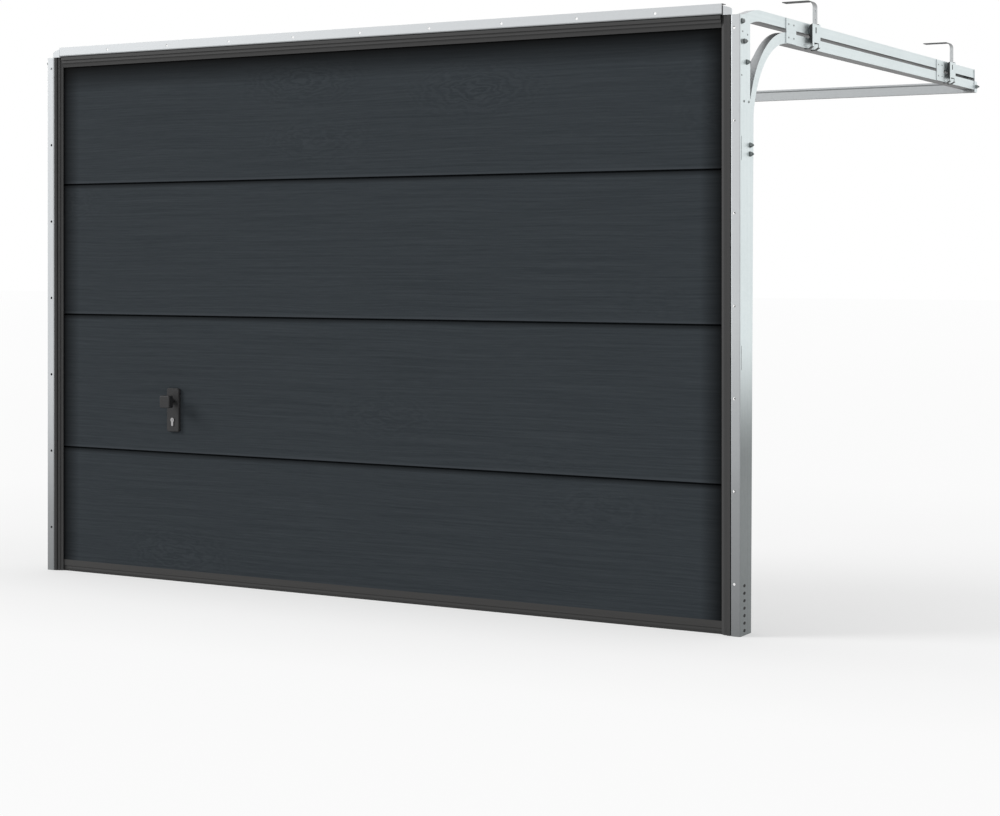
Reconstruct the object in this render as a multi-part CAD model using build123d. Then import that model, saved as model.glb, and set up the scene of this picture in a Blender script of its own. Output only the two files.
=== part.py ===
from build123d import *
import math
import os

# Sectional garage door, shut: four hinged sections in a frame of two posts and a header,
# with double tracks that run back under the ceiling. Millimetres.
# X runs along the door from its middle, Y runs back from the front of the frame, Z is height
# above the floor. The saved parts have their origin on the front face of the header.

# Clearances shared by all pieces
FIT = 0.2
JOINT_GAP = 0.8
HANDLE_PLAY = 0.05
PAST = 1.0

# Opening and frame
CLEAR_WIDTH = 3000.0
CLEAR_HEIGHT = 2114.0
ORIGIN_RISE = 10.0
SEAL_WIDTH = 37.0
FLANGE_WIDTH = 38.0
HEADER_SEAL_HEIGHT = 42.0
HEADER_FLANGE_HEIGHT = 40.5
HEADER_OVERLAP = 8.0
HEADER_RETURN = 30.0
SHEET = 2.0
FOLD_RADIUS = 4.0
SEAL_FOLD_RADIUS = 8.0
SEAL_SEAT = 16.0
SEAL_SEAT_WIDTH = 31.0
WEB_FOOT_DEPTH = 97.0
WEB_STEP_DROP = 246.0
PLATE_DEPTH = 89.0

# Corner brackets, each with a chamfered front
CORNER_GAP = 1.0
CORNER_REACH = 6.0
CORNER_TIP = 7.0
CORNER_DROP = 7.0
CORNER_SLOPE_DROP = 15.0
CORNER_SIDE_DROP = 21.0
CORNER_TONGUE = 40.0
CORNER_TAB_MARGIN = 2.0

# Fastening holes of the frame
FRAME_HOLE_RADIUS = 5.0
SIDE_HOLE_INSET = 23.0
SIDE_HOLE_FIRST = 181.0
SIDE_HOLE_PITCH = 321.5
SIDE_HOLE_MARGIN = 20.0
HEADER_HOLE_PITCH = 312.5
HEADER_HOLE_RISE = 20.5
ANCHOR_HOLE_RADIUS = 5.0
ANCHOR_HOLE_DEPTH = 38.0
ANCHOR_HOLE_FIRST = 17.0
ANCHOR_HOLE_PITCH = 26.0
ANCHOR_HOLE_COUNT = 7
WEB_SLOT_WIDTH = 3.0
WEB_SLOT_LENGTH = 84.0
WEB_SLOT_DEPTH = 11.0
WEB_SLOT_FEET = (923.0, 1651.0)

# Seal strips, each of two bands that step down to a sloping lip
BAND_COUNT = 2
BAND_FRONT = 0.5
BAND_WIDTH = 12.5
BAND_STEP = 4.5
SEAL_EDGE = 1.0
LIP_WIDTH = 3.5
LIP_TIP = 4.5

# Leaf
LEAF_SETBACK = 18.0
LEAF_THICKNESS = 42.0
LEAF_OVERLAP = 18.0
LEAF_HEAD_OVERLAP = 52.0
BOTTOM_SECTION_TOP = 520.8
LOWER_SECTION_TOP = 1077.0
UPPER_SECTION_TOP = 1620.8
GROOVE_HEIGHT = 7.0
GROOVE_DEPTH = 5.0
TONGUE_OFFSET = 3.0
TONGUE_HEIGHT = 7.0
TONGUE_WIDTH = 16.0
TONGUE_TAPER = 2.0

# Foot of the leaf, and the caps on the ends of its sections
BOTTOM_SEAL_HEIGHT = 22.0
BOTTOM_RAIL_HEIGHT = 25.0
RAIL_WALL = 2.5
FOOT_INSET = 3.0
FOOT_BULGE = 1.5
FOOT_LIP_WIDTH = 8.0
FOOT_ARCH = 4.0
FOOT_HOLLOW_RADIUS = 5.5
FOOT_HOLLOW_RISE = 12.5
CAP_SHEET = 1.5
CAP_FLANGE = 66.0
CAP_SHORT = 3.0
CAP_SETBACK = 1.0

# Tracks
TRACK_HEIGHT = 40.0
TRACK_DEPTH = 54.0
SHORT_FLANGE = 30.0
TRACK_LIP = 8.0
TRACK_FOOT_Y = 77.0
TRACK_HEAD_Y = 99.0
TRACK_FOOT_HEIGHT = 76.0
LOWER_TRACK_RISE = 0.5
TRACK_SPACING = 53.0
BEND_RADIUS = 360.0
BEND_TAIL = 16.0
TRACK_END_Y = 2765.0
UPPER_BEND_Y = 190.0
UPPER_BEND_RADIUS = 300.0
UPPER_BEND_ANGLE = 14.0
UPPER_FRONT_Y = 26.0
TRACK_JOINT_GAP = 0.6
SPLICE_LENGTH = 98.0
SPLICE_SHEET = 3.0
SPLICE_MARGIN = 1.0
REAR_SPLICE_SETBACK = 516.5

# Hangers, each a folded plate with hooks on both tracks
FRONT_HANGER_SETBACK = 170.5
REAR_HANGER_SETBACK = 429.5
HANGER_LENGTH = 82.0
HANGER_STAND_OFF = 20.0
HANGER_SHEET = 2.5
HANGER_LIP = 12.0
HANGER_CHAMFER = 7.0
HANGER_FOOT_RISE = 23.0
HANGER_LEG_RISE = 9.0
HANGER_LEG_WIDTH = 18.0
HANGER_HOOK = 12.0
HANGER_SLOT_LENGTH = 24.0
HANGER_SLOT_WIDTH = 10.0
HANGER_SLOT_DROP = 22.0

# Straps that hang the tracks from the ceiling
STRAP_WIDTH = 42.0
STRAP_SHEET = 3.0
STRAP_START = 15.0
STRAP_RISE = 88.5
STRAP_DROP = 62.0
STRAP_ARM = 125.0
STRAP_BEND = 24.0
STRAP_HOLE_WIDTH = 7.0
STRAP_HOLE_LENGTH = 18.0
STRAP_HOLE_PITCH = 33.0
STRAP_HOLE_COUNT = 3
STRAP_ARM_HOLE = 32.0

# End brackets and crossbar
END_SHEET = 3.0
END_TAB_LENGTH = 38.0
END_TAB_CHAMFER = 8.0
CROSSBAR_HEIGHT = 51.0
CROSSBAR_DROP = 32.5
CROSSBAR_DEPTH = 30.0
CROSSBAR_BEAD = 1.2
CROSSBAR_BEAD_DROP = 9.0
CROSSBAR_BEAD_HALF = 1.5

# Hinges
HINGE_SHEET = 2.5
HINGE_WIDTH = 62.0
HINGE_HEIGHT = 104.0
HINGE_CUT = 4.0
KNUCKLE_RADIUS = 5.5
KNUCKLE_COUNT = 3
KNUCKLE_SLIT = 1.2
PIN_RADIUS = 2.8
PIN_END = 2.0
MIDDLE_HINGE_X = (-760.0, 0.0, 760.0)

# Roller carriers and the brackets that hold them
CARRIER_WIDTH = 48.0
CARRIER_INSET = 8.0
CARRIER_RISE = 24.0
CARRIER_WALL = 2.6
EAR_HALF = 16.0
TOP_BRACKET_DROP = 92.0
TOP_BRACKET_RISE = 12.0
BOTTOM_BRACKET_RISE = 48.0
CHEEK_HEIGHT = 27.0
CHEEK_MARGIN = 8.0

# Rollers and axles
AXLE_RADIUS = 5.5
AXLE_PLAY = 0.05
AXLE_REACH = 6.0
ROLLER_CLEARANCE = 0.5
ROLLER_WIDTH = 19.0
ROLLER_INSET = 12.0
ROLLER_DISH = 4.0
ROLLER_RIM = 3.5
ROLLER_HUB = 3.0
BOTTOM_ROLLER_HEIGHT = 96.0
TOP_ROLLER_Y = 86.0

# Springs
SPRING_RADIUS = 13.0
SPRING_WIRE_RADIUS = 3.6
SPRING_X_INSET = 25.0
SPRING_FOOT = 190.0
SPRING_PIN_REACH = 6.0

# Pulleys and cables
PULLEY_RADIUS = 18.0
PULLEY_GROOVE = 2.0
PULLEY_WIDTH = 9.0
PULLEY_EDGE = 1.5
PULLEY_SEAT = 1.6
PULLEY_PIN_RADIUS = 5.0
PULLEY_DROP = 49.0
TOP_PULLEY_Y = 45.0
MOVING_PULLEY_DROP = 185.0
MOVING_PIN_RADIUS = 4.0
FORK_CLEARANCE = 1.5
FORK_HALF = 8.0
FORK_LENGTH = 44.0
FORK_BASE = 6.0
CABLE_RADIUS = 1.5
CABLE_SINK = 1.2
CABLE_KNOT = 1.2
CABLE_X_INSET = 47.0
CABLE_PIN_RADIUS = 4.0
CABLE_PIN_HEIGHT = 60.0
CABLE_PIN_REACH = 5.0
CABLE_END_DROP = 55.0
EYE_WALL = 3.5
EYE_HALF = 2.0

# Lock and handle
LOCK_X = -912.0
HANDLE_HEIGHT = 732.0
CYLINDER_DROP = 76.0
LOCK_PLATE_WIDTH = 62.0
LOCK_PLATE_RISE = 52.0
LOCK_PLATE_DROP = 48.0
LOCK_PLATE_THICKNESS = 12.0
LOCK_CORNER = 9.0
LOCK_CHAMFER = 3.0
KNOB_SIZE = 50.0
KNOB_DEPTH = 27.0
KNOB_REACH = 65.0
KNOB_CORNER = 8.0
KNOB_FILLET = 4.0
NECK_RADIUS = 10.0
SPINDLE_RADIUS = 5.0
SPINDLE_ROOM = 3.0
CYLINDER_RADIUS = 8.5
CYLINDER_LENGTH = 24.5
CYLINDER_STEM = 5.0
CYLINDER_PROUD = 3.0
KEYWAY_WIDTH = 2.0
KEYWAY_HEIGHT = 9.0
KEYWAY_DEPTH = 8.0
LOCK_CASE_WIDTH = 78.0
LOCK_CASE_DEPTH = 24.0
INNER_KNOB_GAP = 1.0
INNER_KNOB_RADIUS = 21.0
INNER_KNOB_DEPTH = 22.0
INNER_NECK_LENGTH = 14.0
INNER_KNOB_TAPER = 3.0

# Lock bar, its guides on the leaf, and the strike on the track
BAR_HEIGHT = 22.0
BAR_THICKNESS = 3.5
BAR_REACH = 13.0
GUIDE_HALF = 12.0
GUIDE_SHEET = 2.0
GUIDE_LIP = 4.0
GUIDE_FROM_LOCK = 218.0
GUIDE_FROM_EDGE = 128.0
STRIKE_WIDTH = 30.0
STRIKE_INSET = 3.0
STRIKE_LEDGE = 9.0
STRIKE_HEIGHT = 24.0
STRIKE_GAP = 1.0

# Places that follow from the sizes above: frame
HALF_CLEAR = CLEAR_WIDTH / 2
SEAL_OUTER_X = HALF_CLEAR + SEAL_WIDTH
OUTER_X = SEAL_OUTER_X + FLANGE_WIDTH
WEB_INNER_X = OUTER_X - SHEET
FRAME_TOP = CLEAR_HEIGHT + HEADER_SEAL_HEIGHT
HEADER_TOP = FRAME_TOP + HEADER_FLANGE_HEIGHT
ORIGIN_HEIGHT = FRAME_TOP + ORIGIN_RISE
WEB_STEP_HEIGHT = CLEAR_HEIGHT - WEB_STEP_DROP
SIDE_HOLE_COUNT = 1 + int((FRAME_TOP - SIDE_HOLE_MARGIN - SIDE_HOLE_FIRST) // SIDE_HOLE_PITCH)
HEADER_HOLE_COUNT = 1 + 2 * int(HALF_CLEAR // HEADER_HOLE_PITCH)

# Leaf
LEAF_TOP = CLEAR_HEIGHT + LEAF_HEAD_OVERLAP
LEAF_BACK = LEAF_SETBACK + LEAF_THICKNESS
LEAF_EDGE_X = HALF_CLEAR + LEAF_OVERLAP
PANEL_EDGE_X = LEAF_EDGE_X - CAP_SHEET
CAP_BACK = LEAF_BACK + CAP_SHEET
PANEL_FOOT = BOTTOM_SEAL_HEIGHT + BOTTOM_RAIL_HEIGHT
SECTION_JOINTS = (BOTTOM_SECTION_TOP, LOWER_SECTION_TOP, UPPER_SECTION_TOP)
TONGUE_MIDDLE = LEAF_SETBACK + LEAF_THICKNESS / 2 - TONGUE_OFFSET

# Tracks and hangers
TRACK_INNER_X = WEB_INNER_X - TRACK_DEPTH
LOWER_TRACK_HEIGHT = CLEAR_HEIGHT + LOWER_TRACK_RISE
UPPER_TRACK_HEIGHT = LOWER_TRACK_HEIGHT + TRACK_SPACING
TRACKS_FOOT = LOWER_TRACK_HEIGHT - TRACK_HEIGHT / 2
TRACKS_TOP = UPPER_TRACK_HEIGHT + TRACK_HEIGHT / 2
BEND_START = LOWER_TRACK_HEIGHT - BEND_RADIUS
BEND_MIDDLE_Y = TRACK_HEAD_Y + BEND_RADIUS
TRACK_SLOPE = (TRACK_HEAD_Y - TRACK_FOOT_Y) / BEND_START
WEB_STEP_DEPTH = WEB_FOOT_DEPTH + TRACK_SLOPE * WEB_STEP_HEIGHT
FRONT_JOINT_Y = BEND_MIDDLE_Y + BEND_TAIL
REAR_SPLICE_Y = TRACK_END_Y - REAR_SPLICE_SETBACK
HANGER_STARTS = (FRONT_JOINT_Y + FRONT_HANGER_SETBACK, TRACK_END_Y - REAR_HANGER_SETBACK)
HANGER_OUTER_X = WEB_INNER_X + HANGER_STAND_OFF
STRAP_X = HANGER_OUTER_X - HANGER_SHEET - FIT
CROSSBAR_FOOT = LOWER_TRACK_HEIGHT - CROSSBAR_DROP

# Running gear
CARRIER_END_X = LEAF_EDGE_X - CARRIER_INSET
CARRIER_START_X = CARRIER_END_X - CARRIER_WIDTH
ROLLER_RADIUS = TRACK_HEIGHT / 2 - SHEET - ROLLER_CLEARANCE
ROLLER_END_X = WEB_INNER_X - SHEET - ROLLER_INSET
SPRING_X = OUTER_X - SPRING_X_INSET
CABLE_X = OUTER_X - CABLE_X_INSET
TOP_PULLEY_HEIGHT = CLEAR_HEIGHT - PULLEY_DROP
MOVING_PULLEY_HEIGHT = TOP_PULLEY_HEIGHT - MOVING_PULLEY_DROP
SPRING_TOP = MOVING_PULLEY_HEIGHT - FORK_LENGTH
CABLE_END_HEIGHT = TOP_PULLEY_HEIGHT - CABLE_END_DROP
CABLE_RUN = PULLEY_RADIUS - PULLEY_GROOVE + CABLE_RADIUS - CABLE_SINK

# Lock
CYLINDER_HEIGHT = HANDLE_HEIGHT - CYLINDER_DROP
LOCK_PLATE_TOP = HANDLE_HEIGHT + LOCK_PLATE_RISE
LOCK_PLATE_FOOT = CYLINDER_HEIGHT - LOCK_PLATE_DROP
LOCK_MIDDLE = (LOCK_PLATE_FOOT + LOCK_PLATE_TOP) / 2
LOCK_HEIGHT = LOCK_PLATE_TOP - LOCK_PLATE_FOOT
LOCK_FRONT = LEAF_SETBACK - LOCK_PLATE_THICKNESS
CASE_BACK = LEAF_BACK + LOCK_CASE_DEPTH
SPINDLE_END = CASE_BACK + INNER_NECK_LENGTH


def block(x0, x1, y0, y1, z0, z1):
    """A box between two corners."""
    middle = Pos((x0 + x1) / 2, (y0 + y1) / 2, (z0 + z1) / 2)
    return middle * Box(abs(x1 - x0), abs(y1 - y0), abs(z1 - z0))


def prism_x(points, x0, x1):
    """A (y, z) outline drawn out along X."""
    return extrude(Plane.YZ.offset(x0) * make_face(Polyline(*points, close=True)), x1 - x0)


def prism_y(points, y0, y1):
    """An (x, z) outline drawn out along Y."""
    return extrude(Plane.XZ.offset(-y1) * make_face(Polyline(*points, close=True)), y1 - y0)


def prism_z(points, z0, z1):
    """An (x, y) outline drawn out along Z."""
    return extrude(Plane.XY.offset(z0) * make_face(Polyline(*points, close=True)), z1 - z0)


def rod_x(x0, x1, y, z, radius):
    """A round bar along X."""
    return Pos((x0 + x1) / 2, y, z) * Rot(0, 90, 0) * Cylinder(radius, abs(x1 - x0))


def rod_y(x, y0, y1, z, radius):
    """A round bar along Y."""
    return Pos(x, (y0 + y1) / 2, z) * Rot(90, 0, 0) * Cylinder(radius, abs(y1 - y0))


def rod_between(start, end, radius):
    """A round bar from one point to another."""
    start, end = Vector(*start), Vector(*end)
    plane = Plane(origin=start, z_dir=end - start)
    return extrude(plane * Circle(radius), (end - start).length)


def other_side(shape):
    """The same piece on the other side of the door."""
    return mirror(shape, about=Plane.YZ)


def track_y(height):
    """The vertical track leans back, so that the leaf leaves its seals as it rises."""
    return TRACK_FOOT_Y + TRACK_SLOPE * height


def side_hole_heights():
    return [SIDE_HOLE_FIRST + step * SIDE_HOLE_PITCH for step in range(SIDE_HOLE_COUNT)]


def anchor_hole_heights():
    return [ANCHOR_HOLE_FIRST + step * ANCHOR_HOLE_PITCH for step in range(ANCHOR_HOLE_COUNT)]


def post_fold():
    """The rounded fold between the post's flange and its web, drawn as an outline."""
    fold = FOLD_RADIUS + SHEET
    turn_x = OUTER_X - FOLD_RADIUS
    outline = Line((OUTER_X - fold, 0), (turn_x, 0))
    outline += RadiusArc((turn_x, 0), (OUTER_X, FOLD_RADIUS), -FOLD_RADIUS)
    outline += Line((OUTER_X, FOLD_RADIUS), (OUTER_X, fold))
    outline += Line((OUTER_X, fold), (WEB_INNER_X, fold))
    outline += Line((WEB_INNER_X, fold), (WEB_INNER_X, FOLD_RADIUS))
    outline += RadiusArc((WEB_INNER_X, FOLD_RADIUS), (turn_x, SHEET), FOLD_RADIUS - SHEET)
    outline += Line((turn_x, SHEET), (OUTER_X - fold, SHEET))
    outline += Line((OUTER_X - fold, SHEET), (OUTER_X - fold, 0))
    return make_face(outline)


def post_web():
    """Side of the post: it widens with the leaning track, and steps in to the top plate."""
    fold = FOLD_RADIUS + SHEET
    outline = [
        (fold, 0),
        (WEB_FOOT_DEPTH, 0),
        (WEB_STEP_DEPTH, WEB_STEP_HEIGHT),
        (PLATE_DEPTH, WEB_STEP_HEIGHT),
        (PLATE_DEPTH, FRAME_TOP),
        (fold, FRAME_TOP),
    ]
    return prism_x(outline, WEB_INNER_X, OUTER_X)


def seal_fold(edge):
    """The rounded fold beside a seal, drawn as (across, depth) from the seal's outer edge."""
    radius, inside = SEAL_FOLD_RADIUS, SEAL_FOLD_RADIUS - SHEET
    centre = edge + radius
    outer_lean, inner_lean = radius * math.sqrt(0.5), inside * math.sqrt(0.5)
    outer_middle = (centre - outer_lean, radius - outer_lean)
    inner_middle = (centre - inner_lean, radius - inner_lean)
    outline = ThreePointArc((edge, radius), outer_middle, (centre, 0))
    outline += Line((centre, 0), (centre, SHEET))
    outline += ThreePointArc((centre, SHEET), inner_middle, (edge + SHEET, radius))
    outline += Line((edge + SHEET, radius), (edge, radius))
    return make_face(outline)


def side_post():
    """Folded post: seal seat, step, front flange and web, with its fastening holes."""
    seat_front = SEAL_SEAT - SHEET
    seat_inner = SEAL_OUTER_X - SEAL_SEAT_WIDTH
    flange_end = OUTER_X - FOLD_RADIUS - SHEET
    step_end = SEAL_OUTER_X + SHEET
    post = block(seat_inner, step_end, seat_front, SEAL_SEAT, 0, FRAME_TOP)
    post += block(SEAL_OUTER_X, step_end, SEAL_FOLD_RADIUS, SEAL_SEAT, 0, FRAME_TOP)
    post += extrude(seal_fold(SEAL_OUTER_X), FRAME_TOP)
    post += block(SEAL_OUTER_X + SEAL_FOLD_RADIUS, flange_end, 0, SHEET, 0, FRAME_TOP)
    post += extrude(post_fold(), FRAME_TOP)
    post += post_web()
    hole_x = OUTER_X - SIDE_HOLE_INSET
    for height in side_hole_heights():
        post -= rod_y(hole_x, -PAST, SHEET + PAST, height, FRAME_HOLE_RADIUS)
    cut_start, cut_end = WEB_INNER_X - PAST, OUTER_X + PAST
    for height in anchor_hole_heights():
        post -= rod_x(cut_start, cut_end, ANCHOR_HOLE_DEPTH, height, ANCHOR_HOLE_RADIUS)
    slot_front = WEB_SLOT_DEPTH - WEB_SLOT_WIDTH / 2
    slot_back = WEB_SLOT_DEPTH + WEB_SLOT_WIDTH / 2
    for foot in WEB_SLOT_FEET:
        post -= block(cut_start, cut_end, slot_front, slot_back, foot, foot + WEB_SLOT_LENGTH)
    return post


def header_profile():
    """Folded header between the posts: seal seat, step, front flange and top return."""
    inner = HALF_CLEAR - FIT
    outer = HALF_CLEAR + HEADER_OVERLAP
    seat_foot = FRAME_TOP - SEAL_SEAT_WIDTH
    step_top, flange_foot = FRAME_TOP + SHEET, FRAME_TOP + SEAL_FOLD_RADIUS
    header = block(-inner, inner, SEAL_SEAT - SHEET, SEAL_SEAT, seat_foot, step_top)
    header += block(-outer, outer, SEAL_FOLD_RADIUS, SEAL_SEAT, FRAME_TOP, step_top)
    across = Plane(origin=(outer, 0, 0), x_dir=(0, 0, 1), z_dir=(-1, 0, 0))
    header += extrude(across * seal_fold(FRAME_TOP), 2 * outer)
    header += block(-outer, outer, 0, SHEET, flange_foot, HEADER_TOP)
    header += block(-outer, outer, 0, HEADER_RETURN, HEADER_TOP - SHEET, HEADER_TOP)
    hole_height = FRAME_TOP + HEADER_HOLE_RISE
    for step in range(HEADER_HOLE_COUNT):
        x = (step - (HEADER_HOLE_COUNT - 1) / 2) * HEADER_HOLE_PITCH
        header -= rod_y(x, -PAST, SHEET + PAST, hole_height, FRAME_HOLE_RADIUS)
    return header


def corner_bracket():
    """Plate that joins a post to the header, with the sloping piece that shows in front."""
    start = HALF_CLEAR + HEADER_OVERLAP + CORNER_GAP
    end = SEAL_OUTER_X + CORNER_REACH
    foot = FRAME_TOP + FIT
    low = FRAME_TOP + SEAL_FOLD_RADIUS + FIT
    slope = [
        (end, HEADER_TOP - CORNER_SIDE_DROP),
        (end - CORNER_TIP, HEADER_TOP - CORNER_SLOPE_DROP),
        (start, HEADER_TOP - CORNER_DROP),
    ]
    tongue_start = start - CORNER_TONGUE
    tongue = [(tongue_start, low), (end, low)] + slope + [(tongue_start, HEADER_TOP - CORNER_DROP)]
    tab_start, tab_end = LEAF_EDGE_X + CORNER_TAB_MARGIN, SEAL_OUTER_X - CORNER_TAB_MARGIN
    tab_front = SEAL_SEAT + FIT
    tab_back = tab_front + SHEET
    bracket = prism_y([(start, foot), (end, foot)] + slope, 0, SHEET)
    bracket += prism_y(tongue, SHEET, 2 * SHEET)
    bracket += block(tab_start, tab_end, 0, tab_back, foot, foot + SHEET)
    tab_foot = FRAME_TOP - CORNER_TONGUE
    return bracket + block(tab_start, tab_end, tab_front, tab_back, tab_foot, foot + SHEET)


def seal_outline(start, end, back):
    """Strip from its lip to its fastened edge: the lip slopes, then bands step forward."""
    tip = LEAF_SETBACK - FIT
    slope_end = end - BAND_COUNT * BAND_WIDTH
    outline = [(start, tip - LIP_TIP), (slope_end, BAND_FRONT + BAND_COUNT * BAND_STEP)]
    for step in range(BAND_COUNT):
        near = slope_end + step * BAND_WIDTH
        front = BAND_FRONT + (BAND_COUNT - 1 - step) * BAND_STEP
        outline += [(near, front), (near + BAND_WIDTH, front)]
    outline += [(end, back), (start + LIP_WIDTH + SEAL_EDGE, back)]
    return outline + [(start + LIP_WIDTH, tip), (start, tip)]


def side_seal():
    outline = seal_outline(HALF_CLEAR, SEAL_OUTER_X - FIT, SEAL_SEAT - SHEET)
    return prism_z(outline, SEAL_EDGE, FRAME_TOP)


def header_seal():
    outline = seal_outline(CLEAR_HEIGHT, FRAME_TOP - FIT, SEAL_SEAT - SHEET)
    inner = HALF_CLEAR - FIT
    return prism_x([(y, z) for z, y in outline], -inner, inner)


def joint_points(joint, side):
    """Edge of a section at a joint, from front to back: side -1 is the tongue of the section
    below, side 1 the socket of the section above, which clears the tongue all round."""
    room = JOINT_GAP if side > 0 else 0
    half = TONGUE_WIDTH / 2 + room
    crest = joint + TONGUE_HEIGHT + room
    edge = joint + side * JOINT_GAP / 2
    groove = joint + side * GROOVE_HEIGHT / 2
    return [
        (LEAF_SETBACK, groove),
        (LEAF_SETBACK + GROOVE_DEPTH, groove),
        (LEAF_SETBACK + GROOVE_DEPTH + GROOVE_HEIGHT / 2, edge),
        (TONGUE_MIDDLE - half, edge),
        (TONGUE_MIDDLE - half + TONGUE_TAPER, crest),
        (TONGUE_MIDDLE + half - TONGUE_TAPER, crest),
        (TONGUE_MIDDLE + half, edge),
        (LEAF_BACK - GROOVE_HEIGHT / 2, edge),
        (LEAF_BACK, groove),
    ]


def leaf_section(bottom, top):
    """One sandwich panel between two joints. The lowest and highest edges are flat."""
    lower = [(LEAF_SETBACK, bottom), (LEAF_BACK, bottom)]
    upper = [(LEAF_SETBACK, top), (LEAF_BACK, top)]
    if bottom in SECTION_JOINTS:
        lower = joint_points(bottom, 1)
    if top in SECTION_JOINTS:
        upper = joint_points(top, -1)
    return prism_x(lower + upper[::-1], -PANEL_EDGE_X, PANEL_EDGE_X)


def lower_middle_section():
    """The section that carries the lock, with its two openings."""
    panel = leaf_section(BOTTOM_SECTION_TOP, LOWER_SECTION_TOP)
    panel -= rod_y(LOCK_X, 0, LEAF_BACK + PAST, HANDLE_HEIGHT, SPINDLE_RADIUS + SPINDLE_ROOM)
    return panel - cylinder_form(0, LEAF_BACK + PAST, FIT)


def bottom_rail():
    """Hollow rail that closes the lowest section."""
    low, high = BOTTOM_SEAL_HEIGHT, PANEL_FOOT
    front, back = LEAF_SETBACK + RAIL_WALL, LEAF_BACK - RAIL_WALL
    cut = PANEL_EDGE_X + PAST
    rail = block(-PANEL_EDGE_X, PANEL_EDGE_X, LEAF_SETBACK, LEAF_BACK, low, high)
    return rail - block(-cut, cut, front, back, low + RAIL_WALL, high - RAIL_WALL)


def bottom_seal():
    """Rubber foot with two lips and a hollow."""
    front, back = LEAF_SETBACK + FOOT_INSET, LEAF_BACK - FOOT_INSET
    middle = (front + back) / 2
    near, far = front + SEAL_EDGE, back - SEAL_EDGE
    outline = [
        (front, BOTTOM_SEAL_HEIGHT),
        (front - FOOT_BULGE, BOTTOM_SEAL_HEIGHT / 2),
        (near, 0),
        (near + FOOT_LIP_WIDTH, 0),
        (middle, FOOT_ARCH),
        (far - FOOT_LIP_WIDTH, 0),
        (far, 0),
        (back + FOOT_BULGE, BOTTOM_SEAL_HEIGHT / 2),
        (back, BOTTOM_SEAL_HEIGHT),
    ]
    cut = PANEL_EDGE_X + PAST
    rubber = prism_x(outline, -PANEL_EDGE_X, PANEL_EDGE_X)
    return rubber - rod_x(-cut, cut, middle, FOOT_HOLLOW_RISE, FOOT_HOLLOW_RADIUS)


def end_caps():
    """Folded caps on the ends of the four sections, one for each section."""
    edges = (BOTTOM_SEAL_HEIGHT,) + SECTION_JOINTS + (LEAF_TOP,)
    outline = [
        (PANEL_EDGE_X, LEAF_SETBACK + CAP_SETBACK),
        (LEAF_EDGE_X, LEAF_SETBACK + CAP_SETBACK),
        (LEAF_EDGE_X, CAP_BACK),
        (LEAF_EDGE_X - CAP_FLANGE, CAP_BACK),
        (LEAF_EDGE_X - CAP_FLANGE, LEAF_BACK),
        (PANEL_EDGE_X, LEAF_BACK),
    ]
    caps = []
    for low, high in zip(edges, edges[1:]):
        foot = low if low == BOTTOM_SEAL_HEIGHT else low + CAP_SHORT
        head = high if high == LEAF_TOP else high - CAP_SHORT
        caps.append(prism_z(outline, foot, head))
    return caps


def channel_outline(across, side):
    """Points of the track's section: X across the door, and a distance from the centre line.
    The flange on the given side of that line is short and plain, the other has a lip."""
    half = TRACK_HEIGHT / 2
    inner, outer = TRACK_INNER_X, WEB_INNER_X
    outline = [
        (outer, half),
        (outer, -half),
        (inner, -half),
        (inner, TRACK_LIP - half),
        (inner + SHEET, TRACK_LIP - half),
        (inner + SHEET, SHEET - half),
        (outer - SHEET, SHEET - half),
        (outer - SHEET, half - SHEET),
        (outer - SHORT_FLANGE, half - SHEET),
        (outer - SHORT_FLANGE, half),
    ]
    return [(x, across + side * height) for x, height in outline]


def vertical_track():
    outline = channel_outline(track_y(TRACK_FOOT_HEIGHT), -1)
    rise = BEND_START - TRACK_FOOT_HEIGHT
    face = Plane.XY.offset(TRACK_FOOT_HEIGHT) * make_face(Polyline(*outline, close=True))
    lean = Vector(0, TRACK_SLOPE, 1)
    return extrude(face, rise * lean.length, dir=lean)


def track_section(y, height):
    """The track's section, upright in a plane across the door's depth."""
    outline = channel_outline(height, 1)
    return Plane.XZ.offset(-y) * make_face(Polyline(*outline, close=True))


def horizontal_run(y0, y1, height):
    return extrude(track_section(y1, height), y1 - y0)


def track_bend():
    """Quarter bend of the lower track, with a short straight tail."""
    face = track_section(BEND_MIDDLE_Y, LOWER_TRACK_HEIGHT)
    axis = Axis((0, BEND_MIDDLE_Y, BEND_START), (1, 0, 0))
    bend = revolve(face, axis=axis, revolution_arc=90)
    end = FRONT_JOINT_Y - TRACK_JOINT_GAP / 2
    return bend + horizontal_run(BEND_MIDDLE_Y, end, LOWER_TRACK_HEIGHT)


def lower_track():
    """Two lengths, joined under the rear splice plate."""
    gap = TRACK_JOINT_GAP / 2
    return [
        horizontal_run(FRONT_JOINT_Y + gap, REAR_SPLICE_Y - gap, LOWER_TRACK_HEIGHT),
        horizontal_run(REAR_SPLICE_Y + gap, TRACK_END_Y, LOWER_TRACK_HEIGHT),
    ]


def dip_start():
    """Where the upper track's bend ends and its straight, dipped front begins: (y, z)."""
    turn = math.radians(UPPER_BEND_ANGLE)
    y = UPPER_BEND_Y - UPPER_BEND_RADIUS * math.sin(turn)
    return y, UPPER_TRACK_HEIGHT - UPPER_BEND_RADIUS * (1 - math.cos(turn))


def dip_height(y):
    """Height of the centre line of the upper track's dipped front."""
    start_y, start_height = dip_start()
    return start_height - (start_y - y) * math.tan(math.radians(UPPER_BEND_ANGLE))


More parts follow.
